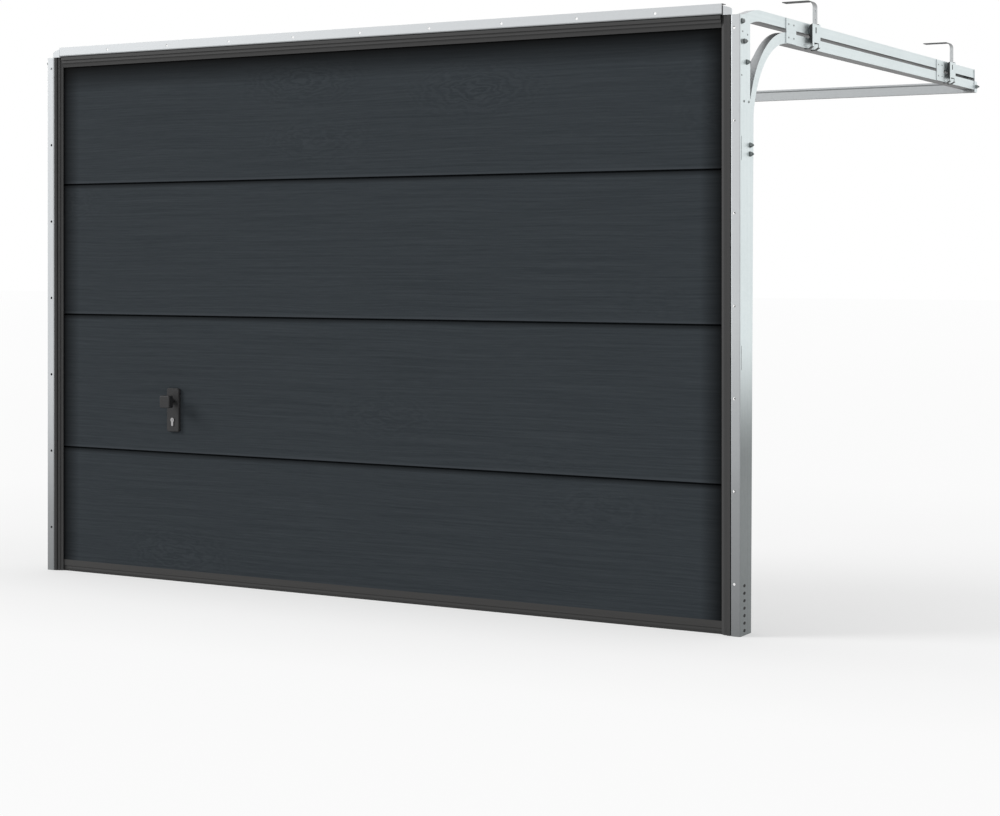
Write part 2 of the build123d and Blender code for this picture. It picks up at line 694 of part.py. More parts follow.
def upper_track():
    """Track of the top roller. Its front end dips, to seat the top section under the header."""
    gap = TRACK_JOINT_GAP / 2
    turn = math.radians(UPPER_BEND_ANGLE)
    front = horizontal_run(UPPER_BEND_Y, REAR_SPLICE_Y - gap, UPPER_TRACK_HEIGHT)
    face = track_section(UPPER_BEND_Y, UPPER_TRACK_HEIGHT)
    axis = Axis((0, UPPER_BEND_Y, UPPER_TRACK_HEIGHT - UPPER_BEND_RADIUS), (1, 0, 0))
    front += revolve(face, axis=axis, revolution_arc=UPPER_BEND_ANGLE)
    length = (dip_start()[0] - UPPER_FRONT_Y) / math.cos(turn)
    slope = (0, -math.cos(turn), -math.sin(turn))
    front += extrude(face.rotate(axis, UPPER_BEND_ANGLE), length, dir=slope)
    return [front, horizontal_run(REAR_SPLICE_Y + gap, TRACK_END_Y, UPPER_TRACK_HEIGHT)]


def splice_plates():
    low, high = TRACKS_FOOT + SPLICE_MARGIN, TRACKS_TOP - SPLICE_MARGIN
    plates = []
    for middle in (FRONT_JOINT_Y, REAR_SPLICE_Y):
        start, end = middle - SPLICE_LENGTH / 2, middle + SPLICE_LENGTH / 2
        plates.append(block(WEB_INNER_X, WEB_INNER_X + SPLICE_SHEET, start, end, low, high))
    return plates


def hanger_hook(start, end):
    """A leg of the hanger: down from its plate, under the lower track and round its edge."""
    outer, sheet = HANGER_OUTER_X, HANGER_SHEET
    heel, tip = WEB_INNER_X + sheet, WEB_INNER_X - HANGER_HOOK
    leg_foot = TRACKS_FOOT + HANGER_LEG_RISE
    outline = [
        (outer - sheet, TRACKS_FOOT + HANGER_FOOT_RISE + sheet),
        (outer - sheet, leg_foot),
        (heel, TRACKS_FOOT - FIT),
        (tip, TRACKS_FOOT - FIT),
        (tip, TRACKS_FOOT - FIT - sheet),
        (heel + sheet / 2, TRACKS_FOOT - FIT - sheet),
        (outer, leg_foot - sheet / 2),
        (outer, TRACKS_FOOT + HANGER_FOOT_RISE + sheet),
    ]
    return prism_y(outline, start, end)


def hanger(start):
    """Folded plate beside both tracks: a front lip, a closed back, two hooks and a top tab."""
    end = start + HANGER_LENGTH
    outer, sheet = HANGER_OUTER_X, HANGER_SHEET
    low = TRACKS_FOOT + HANGER_FOOT_RISE
    top = TRACKS_TOP - SPLICE_MARGIN
    lip = [
        (outer, low),
        (outer, top),
        (outer - sheet, top),
        (outer - HANGER_LIP, top - HANGER_CHAMFER),
        (outer - HANGER_LIP, low + HANGER_CHAMFER),
        (outer - sheet, low),
    ]
    tab_start = end - HANGER_LEG_WIDTH
    body = block(outer - sheet, outer, start, end, low, top)
    body += prism_y(lip, start, start + sheet)
    body += block(WEB_INNER_X + FIT, outer, end - sheet, end, low, top)
    body += hanger_hook(start, start + HANGER_LEG_WIDTH)
    body += hanger_hook(tab_start, end)
    body += block(outer - sheet, outer, tab_start, end, top - sheet, TRACKS_TOP + FIT)
    tab_foot, tab_top = TRACKS_TOP + FIT, TRACKS_TOP + FIT + sheet
    body += block(WEB_INNER_X - HANGER_HOOK, outer, tab_start, end, tab_foot, tab_top)
    slot = Plane.YZ.offset(outer - sheet - PAST)
    slot *= Pos(start + STRAP_START + STRAP_WIDTH / 2, top - HANGER_SLOT_DROP)
    slot *= SlotOverall(HANGER_SLOT_LENGTH, HANGER_SLOT_WIDTH, rotation=90)
    return body - extrude(slot, sheet + 2 * PAST)


def strap_form(front):
    """Flat strap beside the hanger's plate: upright, bent, then an arm that runs inward."""
    foot, top = TRACKS_TOP - STRAP_DROP, TRACKS_TOP + STRAP_RISE
    inner, tip = STRAP_X - STRAP_SHEET, STRAP_X - STRAP_ARM
    turn_x, turn_height = STRAP_X - STRAP_BEND, top - STRAP_BEND
    outline = Line((STRAP_X, foot), (STRAP_X, turn_height))
    outline += RadiusArc((STRAP_X, turn_height), (turn_x, top), -STRAP_BEND)
    outline += Line((turn_x, top), (tip, top))
    outline += Line((tip, top), (tip, top - STRAP_SHEET))
    outline += Line((tip, top - STRAP_SHEET), (turn_x, top - STRAP_SHEET))
    bend = RadiusArc((turn_x, top - STRAP_SHEET), (inner, turn_height), STRAP_BEND - STRAP_SHEET)
    outline += bend + Line((inner, turn_height), (inner, foot))
    outline += Line((inner, foot), (STRAP_X, foot))
    face = Plane.XZ.offset(-front - STRAP_WIDTH) * make_face(outline)
    return extrude(face, STRAP_WIDTH)


def hanger_strap(start):
    """Perforated strap from a hanger to the ceiling. Its holes are slots along its middle."""
    front = start + STRAP_START
    strap = strap_form(front)
    middle = front + STRAP_WIDTH / 2
    slot = SlotOverall(STRAP_HOLE_LENGTH, STRAP_HOLE_WIDTH, rotation=90)
    side = Plane.YZ.offset(STRAP_X - STRAP_SHEET - PAST)
    lowest = TRACKS_TOP - SPLICE_MARGIN - HANGER_SLOT_DROP
    for step in range(STRAP_HOLE_COUNT):
        cut = side * Pos(middle, lowest + step * STRAP_HOLE_PITCH) * slot
        strap -= extrude(cut, STRAP_SHEET + 2 * PAST)
    arm_foot = TRACKS_TOP + STRAP_RISE - STRAP_SHEET - PAST
    cut = Plane.XY.offset(arm_foot) * Pos(STRAP_X - STRAP_ARM + STRAP_ARM_HOLE, middle)
    return strap - extrude(cut * slot.rotate(Axis.Z, 90), STRAP_SHEET + 2 * PAST)


def end_bracket():
    """Angle that closes both tracks at the rear and takes the crossbar."""
    low, high = CROSSBAR_FOOT + FIT, TRACKS_TOP
    outer = WEB_INNER_X + END_SHEET
    back = TRACK_END_Y + END_SHEET
    tab_end, tab_top = back + END_TAB_LENGTH, low + CROSSBAR_HEIGHT
    tab = [
        (TRACK_END_Y, low),
        (tab_end - END_TAB_CHAMFER, low),
        (tab_end, low + END_TAB_CHAMFER),
        (tab_end, tab_top - END_TAB_CHAMFER),
        (tab_end - END_TAB_CHAMFER, tab_top),
        (TRACK_END_Y, tab_top),
    ]
    plate = block(TRACK_INNER_X, outer, TRACK_END_Y, back, low, high)
    return plate + prism_x(tab, WEB_INNER_X, outer)


def crossbar():
    """Rolled channel between the track ends, open to the rear, with a bead along its face."""
    front = TRACK_END_Y + END_SHEET
    back = front + CROSSBAR_DEPTH
    inside = front + SHEET + CROSSBAR_BEAD
    low, high = CROSSBAR_FOOT, CROSSBAR_FOOT + CROSSBAR_HEIGHT
    bead = high - CROSSBAR_BEAD_DROP
    outline = [
        (front, low),
        (back, low),
        (back, low + SHEET),
        (inside, low + SHEET),
        (inside, high - SHEET),
        (back, high - SHEET),
        (back, high),
        (front, high),
        (front, bead + CROSSBAR_BEAD_HALF),
        (front + CROSSBAR_BEAD, bead + CROSSBAR_BEAD_HALF / 2),
        (front + CROSSBAR_BEAD, bead - CROSSBAR_BEAD_HALF / 2),
        (front, bead - CROSSBAR_BEAD_HALF),
    ]
    return prism_x(outline, FIT - WEB_INNER_X, WEB_INNER_X - FIT)


def middle_hinge(x, joint):
    """Two leaves on one pin, with a slit between its knuckles."""
    start, end = x - HINGE_WIDTH / 2, x + HINGE_WIDTH / 2
    front, back = LEAF_BACK, LEAF_BACK + HINGE_SHEET
    centre = LEAF_BACK + KNUCKLE_RADIUS + FIT
    hinge = block(start, end, front, back, joint - HINGE_HEIGHT / 2, joint - HINGE_CUT)
    hinge += block(start, end, front, back, joint + HINGE_CUT, joint + HINGE_HEIGHT / 2)
    barrel = rod_x(start, end, centre, joint, KNUCKLE_RADIUS)
    low, high = joint - KNUCKLE_RADIUS, joint + KNUCKLE_RADIUS
    knuckle = HINGE_WIDTH / KNUCKLE_COUNT
    for step in range(1, KNUCKLE_COUNT):
        slit = start + step * knuckle
        near, far = slit - KNUCKLE_SLIT / 2, slit + KNUCKLE_SLIT / 2
        barrel -= block(near, far, front, centre + KNUCKLE_RADIUS, low, high)
    return hinge + barrel + rod_x(start - PIN_END, end + PIN_END, centre, joint, PIN_RADIUS)


def middle_hinges():
    return [middle_hinge(x, joint) for joint in SECTION_JOINTS for x in MIDDLE_HINGE_X]


def carrier(axle_y, axle_z, low, high):
    """Base plate on an end cap, two ears and the tube that holds a roller's axle."""
    start, end = CARRIER_START_X, CARRIER_END_X
    base, back = CAP_BACK, CAP_BACK + HINGE_SHEET
    tube = AXLE_RADIUS + CARRIER_WALL
    ear = [
        (base, axle_z - EAR_HALF),
        (back, axle_z - EAR_HALF),
        (axle_y, axle_z - tube),
        (axle_y, axle_z + tube),
        (back, axle_z + EAR_HALF),
        (base, axle_z + EAR_HALF),
    ]
    plate = block(start, end, base, back, low, high)
    plate += prism_x(ear, start, start + HINGE_SHEET)
    plate += prism_x(ear, end - HINGE_SHEET, end)
    plate += rod_x(start, end, axle_y, axle_z, tube)
    return plate - rod_x(start - PAST, end + PAST, axle_y, axle_z, AXLE_RADIUS + AXLE_PLAY)


def side_hinges():
    """Hinges at the leaf's edge. The higher ones stand further out, as the track leans back."""
    start, end = CARRIER_START_X, CARRIER_END_X
    base, back = CAP_BACK, CAP_BACK + HINGE_SHEET
    hinges = []
    for joint in SECTION_JOINTS:
        axle_z = joint + CARRIER_RISE
        low, high = joint + HINGE_CUT, joint + HINGE_HEIGHT / 2
        hinge = carrier(track_y(axle_z), axle_z, low, high)
        hinge += block(start, end, base, back, joint - HINGE_HEIGHT / 2, joint - HINGE_CUT)
        hinges.append(hinge + rod_x(start, end, base + KNUCKLE_RADIUS + FIT, joint, KNUCKLE_RADIUS))
    return hinges


def bottom_bracket():
    """Corner bracket with the lowest roller's carrier and the pin that holds the cable."""
    axle_z = BOTTOM_ROLLER_HEIGHT
    low, high = PANEL_FOOT, PANEL_FOOT + CHEEK_HEIGHT
    cheek_outer = LEAF_EDGE_X + HINGE_SHEET
    back = CAP_BACK + HINGE_SHEET
    pin_y = TOP_PULLEY_Y - CABLE_RUN
    piece = carrier(track_y(axle_z), axle_z, low, axle_z + BOTTOM_BRACKET_RISE)
    piece += block(CARRIER_END_X - PAST, cheek_outer, CAP_BACK, back, low, high)
    piece += block(LEAF_EDGE_X, cheek_outer, pin_y - CHEEK_MARGIN, back, low, high)
    pin_end = CABLE_X + CABLE_PIN_REACH
    return piece + rod_x(LEAF_EDGE_X, pin_end, pin_y, CABLE_PIN_HEIGHT, CABLE_PIN_RADIUS)


def top_bracket():
    """Bracket of the top roller, which stands in the dipped end of the upper track."""
    axle_z = dip_height(TOP_ROLLER_Y)
    return carrier(TOP_ROLLER_Y, axle_z, axle_z - TOP_BRACKET_DROP, axle_z + TOP_BRACKET_RISE)


def roller_places():
    """(y, z) of each axle on one side, from the floor up."""
    heights = [BOTTOM_ROLLER_HEIGHT] + [joint + CARRIER_RISE for joint in SECTION_JOINTS]
    places = [(track_y(height), height) for height in heights]
    return places + [(TOP_ROLLER_Y, dip_height(TOP_ROLLER_Y))]


def roller(y, z):
    """Wheel in the track, dished between hub and tread."""
    start = ROLLER_END_X - ROLLER_WIDTH
    dish_end = start + ROLLER_DISH
    wheel = rod_x(start, ROLLER_END_X, y, z, ROLLER_RADIUS)
    dish = rod_x(start, dish_end, y, z, ROLLER_RADIUS - ROLLER_RIM)
    dish -= rod_x(start, dish_end, y, z, AXLE_RADIUS + ROLLER_HUB)
    return wheel - dish - rod_x(start, ROLLER_END_X, y, z, AXLE_RADIUS + AXLE_PLAY)


def roller_axle(y, z):
    return rod_x(CARRIER_START_X - AXLE_REACH, ROLLER_END_X - PAST, y, z, AXLE_RADIUS)


def tension_spring():
    """Close-wound spring in the post, hooked to a pin through one of the anchor holes."""
    y, pin_z = ANCHOR_HOLE_DEPTH, anchor_hole_heights()[-1]
    coil = Pos(SPRING_X, y, (SPRING_FOOT + SPRING_TOP) / 2)
    coil *= Cylinder(SPRING_RADIUS, SPRING_TOP - SPRING_FOOT)
    hook = rod_between((SPRING_X, y, pin_z), (SPRING_X, y, SPRING_FOOT), SPRING_WIRE_RADIUS)
    pin = rod_x(SPRING_X - SPRING_PIN_REACH, WEB_INNER_X, y, pin_z, ANCHOR_HOLE_RADIUS)
    return coil + hook + pin


def pulley_wheel(x, y, z):
    half, groove = PULLEY_WIDTH / 2, PULLEY_RADIUS - PULLEY_GROOVE - PULLEY_SEAT
    outline = [
        (-half, 0),
        (-half, PULLEY_RADIUS),
        (-half + PULLEY_EDGE, PULLEY_RADIUS),
        (-PULLEY_SEAT, groove),
        (PULLEY_SEAT, groove),
        (half - PULLEY_EDGE, PULLEY_RADIUS),
        (half, PULLEY_RADIUS),
        (half, 0),
    ]
    return Pos(x, y, z) * revolve(make_face(Polyline(*outline, close=True)), axis=Axis.X)


def top_pulley():
    """Fixed pulley on a pin that stands on the post's web."""
    y, z = TOP_PULLEY_Y, TOP_PULLEY_HEIGHT
    pin_start = CABLE_X - PULLEY_WIDTH / 2 - HINGE_SHEET
    return pulley_wheel(CABLE_X, y, z) + rod_x(pin_start, WEB_INNER_X, y, z, PULLEY_PIN_RADIUS)


def moving_pulley():
    """Pulley in a fork on top of the spring."""
    y, z = ANCHOR_HOLE_DEPTH, MOVING_PULLEY_HEIGHT
    inside = PULLEY_WIDTH / 2 + FORK_CLEARANCE
    reach = inside + HINGE_SHEET
    pin_end = reach + PAST
    front, back = y - FORK_HALF, y + FORK_HALF
    fork = pulley_wheel(SPRING_X, y, z)
    fork += rod_x(SPRING_X - pin_end, SPRING_X + pin_end, y, z, MOVING_PIN_RADIUS)
    fork += block(SPRING_X - reach, SPRING_X - inside, front, back, SPRING_TOP, z + FORK_HALF)
    fork += block(SPRING_X + inside, SPRING_X + reach, front, back, SPRING_TOP, z + FORK_HALF)
    base_top = SPRING_TOP + FORK_BASE
    return fork + block(SPRING_X - reach, SPRING_X + reach, front, back, SPRING_TOP, base_top)


def half_loop(x, y, z, side):
    """Cable round one half of a pulley: side 1 goes over it, side -1 under it."""
    face = Plane.XY * Pos(x, y + CABLE_RUN, z) * Circle(CABLE_RADIUS)
    return revolve(face, axis=Axis((0, y, z), (1, 0, 0)), revolution_arc=side * 180)


def cable():
    """Cable from the bottom bracket over the fixed pulley, round the moving one, to the post."""
    front, back = TOP_PULLEY_Y - CABLE_RUN, TOP_PULLEY_Y + CABLE_RUN
    near, far = ANCHOR_HOLE_DEPTH - CABLE_RUN, ANCHOR_HOLE_DEPTH + CABLE_RUN
    eye_outer = CABLE_PIN_RADIUS + EYE_WALL
    foot = CABLE_PIN_HEIGHT + eye_outer - EYE_WALL / 2
    over, under = TOP_PULLEY_HEIGHT, MOVING_PULLEY_HEIGHT
    rope = rod_between((CABLE_X, front, foot), (CABLE_X, front, over), CABLE_RADIUS)
    rope += half_loop(CABLE_X, TOP_PULLEY_Y, over, 1)
    rope += Pos(CABLE_X, back, over) * Sphere(CABLE_KNOT * CABLE_RADIUS)
    rope += rod_between((CABLE_X, back, over), (SPRING_X, far, under), CABLE_RADIUS)
    rope += Pos(SPRING_X, far, under) * Sphere(CABLE_KNOT * CABLE_RADIUS)
    rope += half_loop(SPRING_X, ANCHOR_HOLE_DEPTH, under, -1)
    rope += rod_between((SPRING_X, near, under), (SPRING_X, near, CABLE_END_HEIGHT), CABLE_RADIUS)
    pin_start = SPRING_X - CABLE_PIN_RADIUS
    rope += rod_x(pin_start, WEB_INNER_X, near, CABLE_END_HEIGHT, CABLE_PIN_RADIUS)
    eye = rod_x(CABLE_X - EYE_HALF, CABLE_X + EYE_HALF, front, CABLE_PIN_HEIGHT, eye_outer)
    cut_start, cut_end = CABLE_X - EYE_HALF - PAST, CABLE_X + EYE_HALF + PAST
    eye -= rod_x(cut_start, cut_end, front, CABLE_PIN_HEIGHT, CABLE_PIN_RADIUS + FIT)
    return rope + eye


def cylinder_form(y0, y1, room):
    """Profile of a lock cylinder: a round top and a narrow stem."""
    half = CYLINDER_STEM + room
    foot = CYLINDER_HEIGHT - CYLINDER_LENGTH + CYLINDER_STEM
    form = rod_y(LOCK_X, y0, y1, CYLINDER_HEIGHT, CYLINDER_RADIUS + room)
    form += block(LOCK_X - half, LOCK_X + half, y0, y1, foot, CYLINDER_HEIGHT)
    return form + rod_y(LOCK_X, y0, y1, foot, half)


def lock_plate():
    """Outer plate of the lock, with rounded corners and edges."""
    outline = Plane.XZ.offset(-LEAF_SETBACK) * Pos(LOCK_X, LOCK_MIDDLE)
    outline *= RectangleRounded(LOCK_PLATE_WIDTH, LOCK_HEIGHT, LOCK_CORNER)
    plate = extrude(outline, LOCK_PLATE_THICKNESS)
    plate = chamfer(plate.faces().sort_by(Axis.Y)[0].edges(), LOCK_CHAMFER)
    cut_start, cut_end = LOCK_FRONT - PAST, LEAF_SETBACK + PAST
    plate -= rod_y(LOCK_X, cut_start, cut_end, HANDLE_HEIGHT, NECK_RADIUS + HANDLE_PLAY)
    return plate - cylinder_form(cut_start, cut_end, FIT)


def lock_cylinder():
    front = LOCK_FRONT - CYLINDER_PROUD
    start, end = LOCK_X - KEYWAY_WIDTH / 2, LOCK_X + KEYWAY_WIDTH / 2
    foot, head = CYLINDER_HEIGHT - KEYWAY_HEIGHT / 2, CYLINDER_HEIGHT + KEYWAY_HEIGHT / 2
    keyway = block(start, end, front - PAST, front + KEYWAY_DEPTH, foot, head)
    return cylinder_form(front, LEAF_BACK, 0) - keyway


def knob():
    """Square knob on a round neck, with the spindle that passes through the leaf."""
    front = LEAF_SETBACK - KNOB_REACH
    back = front + KNOB_DEPTH
    face = Plane.XZ.offset(-back) * Pos(LOCK_X, HANDLE_HEIGHT)
    face *= RectangleRounded(KNOB_SIZE, KNOB_SIZE, KNOB_CORNER)
    head = extrude(face, KNOB_DEPTH)
    head = fillet(head.faces().sort_by(Axis.Y)[0].edges(), KNOB_FILLET)
    head = chamfer(head.faces().sort_by(Axis.Y)[-1].edges(), LOCK_CHAMFER)
    neck = rod_y(LOCK_X, back, LEAF_SETBACK, HANDLE_HEIGHT, NECK_RADIUS)
    return head + neck + rod_y(LOCK_X, back, SPINDLE_END, HANDLE_HEIGHT, SPINDLE_RADIUS)


def lock_case():
    """Closed case on the inside of the leaf."""
    outline = Plane.XZ.offset(-CASE_BACK) * Pos(LOCK_X, LOCK_MIDDLE)
    outline *= RectangleRounded(LOCK_CASE_WIDTH, LOCK_HEIGHT, LOCK_CORNER)
    case = extrude(outline, LOCK_CASE_DEPTH)
    case = chamfer(case.faces().sort_by(Axis.Y)[-1].edges(), LOCK_CHAMFER)
    hole = SPINDLE_RADIUS + HANDLE_PLAY
    return case - rod_y(LOCK_X, LEAF_BACK - PAST, CASE_BACK + PAST, HANDLE_HEIGHT, hole)


def inner_knob():
    """Round knob on the inner end of the spindle."""
    start = CASE_BACK + INNER_KNOB_GAP
    shoulder = start + INNER_NECK_LENGTH
    back = shoulder + INNER_KNOB_DEPTH
    outline = [
        (0, start),
        (NECK_RADIUS, start),
        (NECK_RADIUS, shoulder - INNER_KNOB_TAPER),
        (INNER_KNOB_RADIUS - INNER_KNOB_TAPER, shoulder),
        (INNER_KNOB_RADIUS, shoulder + INNER_KNOB_TAPER),
        (INNER_KNOB_RADIUS, back - INNER_KNOB_TAPER),
        (INNER_KNOB_RADIUS - INNER_KNOB_TAPER, back),
        (0, back),
    ]
    body = revolve(make_face(Polyline(*outline, close=True)), axis=Axis.Y)
    body = Pos(LOCK_X, 0, HANDLE_HEIGHT) * body
    return body - rod_y(LOCK_X, start - PAST, SPINDLE_END, HANDLE_HEIGHT, SPINDLE_RADIUS)


def lock_bar():
    """Flat bar from the lock case to the post, in two guides on the leaf."""
    front = CAP_BACK + FIT
    back = front + BAR_THICKNESS
    guide_back = back + GUIDE_SHEET
    low, high = HANDLE_HEIGHT - BAR_HEIGHT / 2, HANDLE_HEIGHT + BAR_HEIGHT / 2
    foot, head = low - GUIDE_LIP, high + GUIDE_LIP
    bar = block(-LEAF_EDGE_X - BAR_REACH, LOCK_X - LOCK_CASE_WIDTH / 2, front, back, low, high)
    for x in (LOCK_X - GUIDE_FROM_LOCK, GUIDE_FROM_EDGE - LEAF_EDGE_X):
        start, end = x - GUIDE_HALF, x + GUIDE_HALF
        bar += block(start, end, LEAF_BACK, guide_back, foot, low)
        bar += block(start, end, LEAF_BACK, guide_back, high, head)
        bar += block(start, end, back, guide_back, foot, head)
    return bar


def lock_strike():
    """Angle on the left track, just above the end of the lock bar."""
    end = -LEAF_EDGE_X - STRIKE_INSET
    start = end - STRIKE_WIDTH
    foot = HANDLE_HEIGHT + BAR_HEIGHT / 2 + STRIKE_GAP
    back = track_y(foot) - TRACK_HEIGHT / 2 - FIT
    strike = block(start, end, back - STRIKE_LEDGE, back, foot, foot + HINGE_SHEET)
    return strike + block(start, end, back - HINGE_SHEET, back, foot, foot + STRIKE_HEIGHT)


def save(name, pieces):
    """Write one node, moved so that the origin lies on the header."""
    solids = []
    for piece in pieces if isinstance(pieces, list) else [pieces]:
        solids += list((Pos(0, 0, -ORIGIN_HEIGHT) * piece).solids())
    shape = solids[0] if len(solids) == 1 else Compound(children=solids)
    export_step(shape, f"parts/{name}.step")


def save_pair(name, pieces):
    """Write a piece of the right-hand side, and its twin on the left."""
    pieces = pieces if isinstance(pieces, list) else [pieces]
    save(f"right_{name}", pieces)
    save(f"left_{name}", [other_side(piece) for piece in pieces])


def save_both(name, piece):
    """Write a piece and its twin as one node."""
    save(name, [piece, other_side(piece)])


os.makedirs("parts", exist_ok=True)
save_pair("post", side_post())
save("header_profile", header_profile())
save_both("corner_brackets", corner_bracket())
save_pair("side_seal", side_seal())
save("header_seal", header_seal())
save("bottom_section", leaf_section(PANEL_FOOT, BOTTOM_SECTION_TOP))
save("lower_middle_section", lower_middle_section())
save("upper_middle_section", leaf_section(LOWER_SECTION_TOP, UPPER_SECTION_TOP))
save("top_section", leaf_section(UPPER_SECTION_TOP, LEAF_TOP))
save("bottom_rail", bottom_rail())
save("bottom_seal", bottom_seal())
save_pair("end_caps", end_caps())
save_pair("vertical_track", vertical_track())
save_pair("track_bend", track_bend())
save_pair("lower_track", lower_track())
save_pair("upper_track", upper_track())
save_pair("splice_plates", splice_plates())
save_pair("hangers", [hanger(start) for start in HANGER_STARTS])
save_pair("hanger_rods", [hanger_strap(start) for start in HANGER_STARTS])
save_both("track_end_brackets", end_bracket())
save("rear_crossbar", crossbar())
save("middle_hinges", middle_hinges())
save_pair("side_hinges", side_hinges())
save_both("bottom_brackets", bottom_bracket())
save_both("top_brackets", top_bracket())
save_pair("rollers", [roller(y, z) for y, z in roller_places()])
save_pair("roller_axles", [roller_axle(y, z) for y, z in roller_places()])
save_both("tension_springs", tension_spring())
save_both("top_pulleys", top_pulley())
save_both("moving_pulleys", moving_pulley())
save_both("lift_cables", cable())
save("lock_plate", lock_plate())
save("lock_cylinder", lock_cylinder())
save("knob", knob())
save("lock_case", lock_case())
save("inner_knob", inner_knob())
save("lock_bar", lock_bar())
save("lock_strike", lock_strike())
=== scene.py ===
import math

import bmesh
import bpy
from mathutils import Matrix, Vector


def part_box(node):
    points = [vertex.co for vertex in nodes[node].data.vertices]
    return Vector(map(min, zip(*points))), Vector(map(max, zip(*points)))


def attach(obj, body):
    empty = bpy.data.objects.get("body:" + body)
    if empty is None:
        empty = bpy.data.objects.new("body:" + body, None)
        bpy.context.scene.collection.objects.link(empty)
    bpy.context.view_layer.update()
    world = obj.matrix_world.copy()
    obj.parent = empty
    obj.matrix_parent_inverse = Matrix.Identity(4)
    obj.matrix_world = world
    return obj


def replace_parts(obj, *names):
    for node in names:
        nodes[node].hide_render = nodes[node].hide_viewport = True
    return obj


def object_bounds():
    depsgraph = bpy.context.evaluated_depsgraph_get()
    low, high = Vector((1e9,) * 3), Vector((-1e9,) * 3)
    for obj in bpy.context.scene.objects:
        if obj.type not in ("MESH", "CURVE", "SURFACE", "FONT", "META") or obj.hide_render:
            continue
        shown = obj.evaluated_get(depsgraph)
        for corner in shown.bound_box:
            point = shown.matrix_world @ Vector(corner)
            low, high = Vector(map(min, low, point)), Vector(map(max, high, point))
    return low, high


# A shut sectional garage door in a studio. Metres, in the part's own frame: X along the door,
# Y back into the garage, Z up, with the origin on the front face of the header.
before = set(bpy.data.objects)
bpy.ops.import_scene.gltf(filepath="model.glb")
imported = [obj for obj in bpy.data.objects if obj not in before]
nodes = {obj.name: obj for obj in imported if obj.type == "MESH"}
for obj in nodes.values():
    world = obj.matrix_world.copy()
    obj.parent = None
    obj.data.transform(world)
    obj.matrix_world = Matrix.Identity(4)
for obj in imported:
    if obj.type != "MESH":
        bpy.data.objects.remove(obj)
cad_low, cad_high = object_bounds()

# The leaf's sections, from the floor up, and the height of a section's tongue
SECTIONS = ("bottom_section", "lower_middle_section", "upper_middle_section", "top_section")
TONGUE = 0.007

# Places read from the frame
FLOOR = cad_low.z
BOX_SIDE = cad_high.x
POST_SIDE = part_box("right_post")[1].x
SPLICE_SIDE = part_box("right_splice_plates")[1].x
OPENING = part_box("right_side_seal")[0].x
HEADER_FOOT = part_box("header_seal")[0].z
HEADER_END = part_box("header_profile")[1].x
CROSSBAR_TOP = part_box("rear_crossbar")[1].z
STRAP_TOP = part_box("right_hanger_rods")[1].z
LEAF_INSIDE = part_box("bottom_section")[1].y
LEAF_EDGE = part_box("bottom_section")[1].x
CAP_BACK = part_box("right_end_caps")[1].y
JOINTS = [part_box(name)[1].z - TONGUE for name in SECTIONS[:-1]]

# Small steel fasteners
NUT_RADIUS = 0.0080
NUT_HEIGHT = 0.0075
WASHER_HEIGHT = 0.0014
WASHER_SPREAD = 1.25
STUD_RADIUS = 0.0042
STUD_END = 0.002
STUD_ROUND = 0.4
STUD_TIP = 0.6
HEXAGON_TURN = 0.4
RIVET_RADIUS = 0.0032
RIVET_HEIGHT = 0.0016
SCREW_RADIUS = 0.0052
SCREW_HEIGHT = 0.0028
SCREW_FLANGE = 1.45
SCREW_FLANGE_EDGE = 0.0006
SCREW_FLANGE_TOP = 0.0012
BOX_MARGIN = 0.001

# Forms of heads, each as shares of the height, and of the radius there
NUT_HEXAGON = ((0, 0.94), (0.15, 1), (0.85, 1), (1, 0.9))
SCREW_HEXAGON = ((0.85, 1), (1, 0.85))
DOME = ((0, 1), (0.45, 0.92), (0.85, 0.6), (1, 0.2))

# Fasteners on a post's outer face: how far back, how high above the floor, and a rivet's scale
CORNER_NUT = (0.0155, 2.133)
CORNER_NUT_SCALE = 1.05
CORNER_NUT_REACH = 0.0092
TRACK_NUTS = ((0.0585, 1.994), (0.088, 1.706), (0.088, 1.675))
TRACK_NUT_SHARE = 0.85
PULLEY_PAD = (0.0265, 2.064)
PULLEY_PAD_PROFILE = ((0, 0.0085), (0.003, 0.0085), (0.0038, 0.0077))
PULLEY_PAD_STRETCH = 2.6
PULLEY_NUT_SHIFT = 0.003
PULLEY_NUT_SHARE = 0.8
POST_RIVETS = ((0.0345, 1.8565, 1.5), (0.0774, 1.8565, 1.5), (0.014, 1.946, 1.0),
               (0.022, 2.098, 1.0), (0.066, 2.09, 1.0))

# Dark heads in the row of spring holes, painted shade for the holes: a round stem, and a flat
# head that is longer than high
SHADED_HOLE_COUNT = 7
SHADED_HOLE_FIRST = 0.017
SHADED_HOLE_PITCH = 0.026
HOLE_SHADE_DEPTH = 0.0015
HOLE_SHADE_STEM = ((0, 0.0046), (0.0016, 0.0046))
HOLE_SHADE_HEAD = ((0.0015, 0.0056), (0.0018, 0.0056), (0.0022, 0.0049))
HOLE_SHADE_STRETCH = 1.75

# Bolts of the splice plates and of the crossbar
SPLICE_LENGTH = 0.098
SPLICE_INSET = 0.021
SPLICE_PLACES = (0.024, 0.074)
SPLICE_BOLT_SCALE = 1.15
END_BOLT_INSET = 0.019
END_BOLT_HEIGHT = 2.109

# Screws of the hinges and rivets of the end caps, from the joint or the edge beside them
HINGE_SHEET = 0.0025
HINGE_INSET = 0.033
HINGE_SCREW_SIDES = (-0.02, 0.02)
HINGE_SCREW_HEIGHTS = (-0.038, -0.018, 0.018, 0.038)
HINGE_SCREW_TWIST = 40
CARRIER_SCREW_SIDES = (-0.013, 0.013)
CARRIER_SCREW_DROPS = (0.036, 0.018)
CAP_INSET = 0.052
CAP_FOOT = 0.06
CAP_SHARES = (0.12, 0.37, 0.63, 0.88)
CAP_RIVET_SCALE = 1.2
CASE_INSET = 0.013
CASE_SCREW_SCALE = 1.3

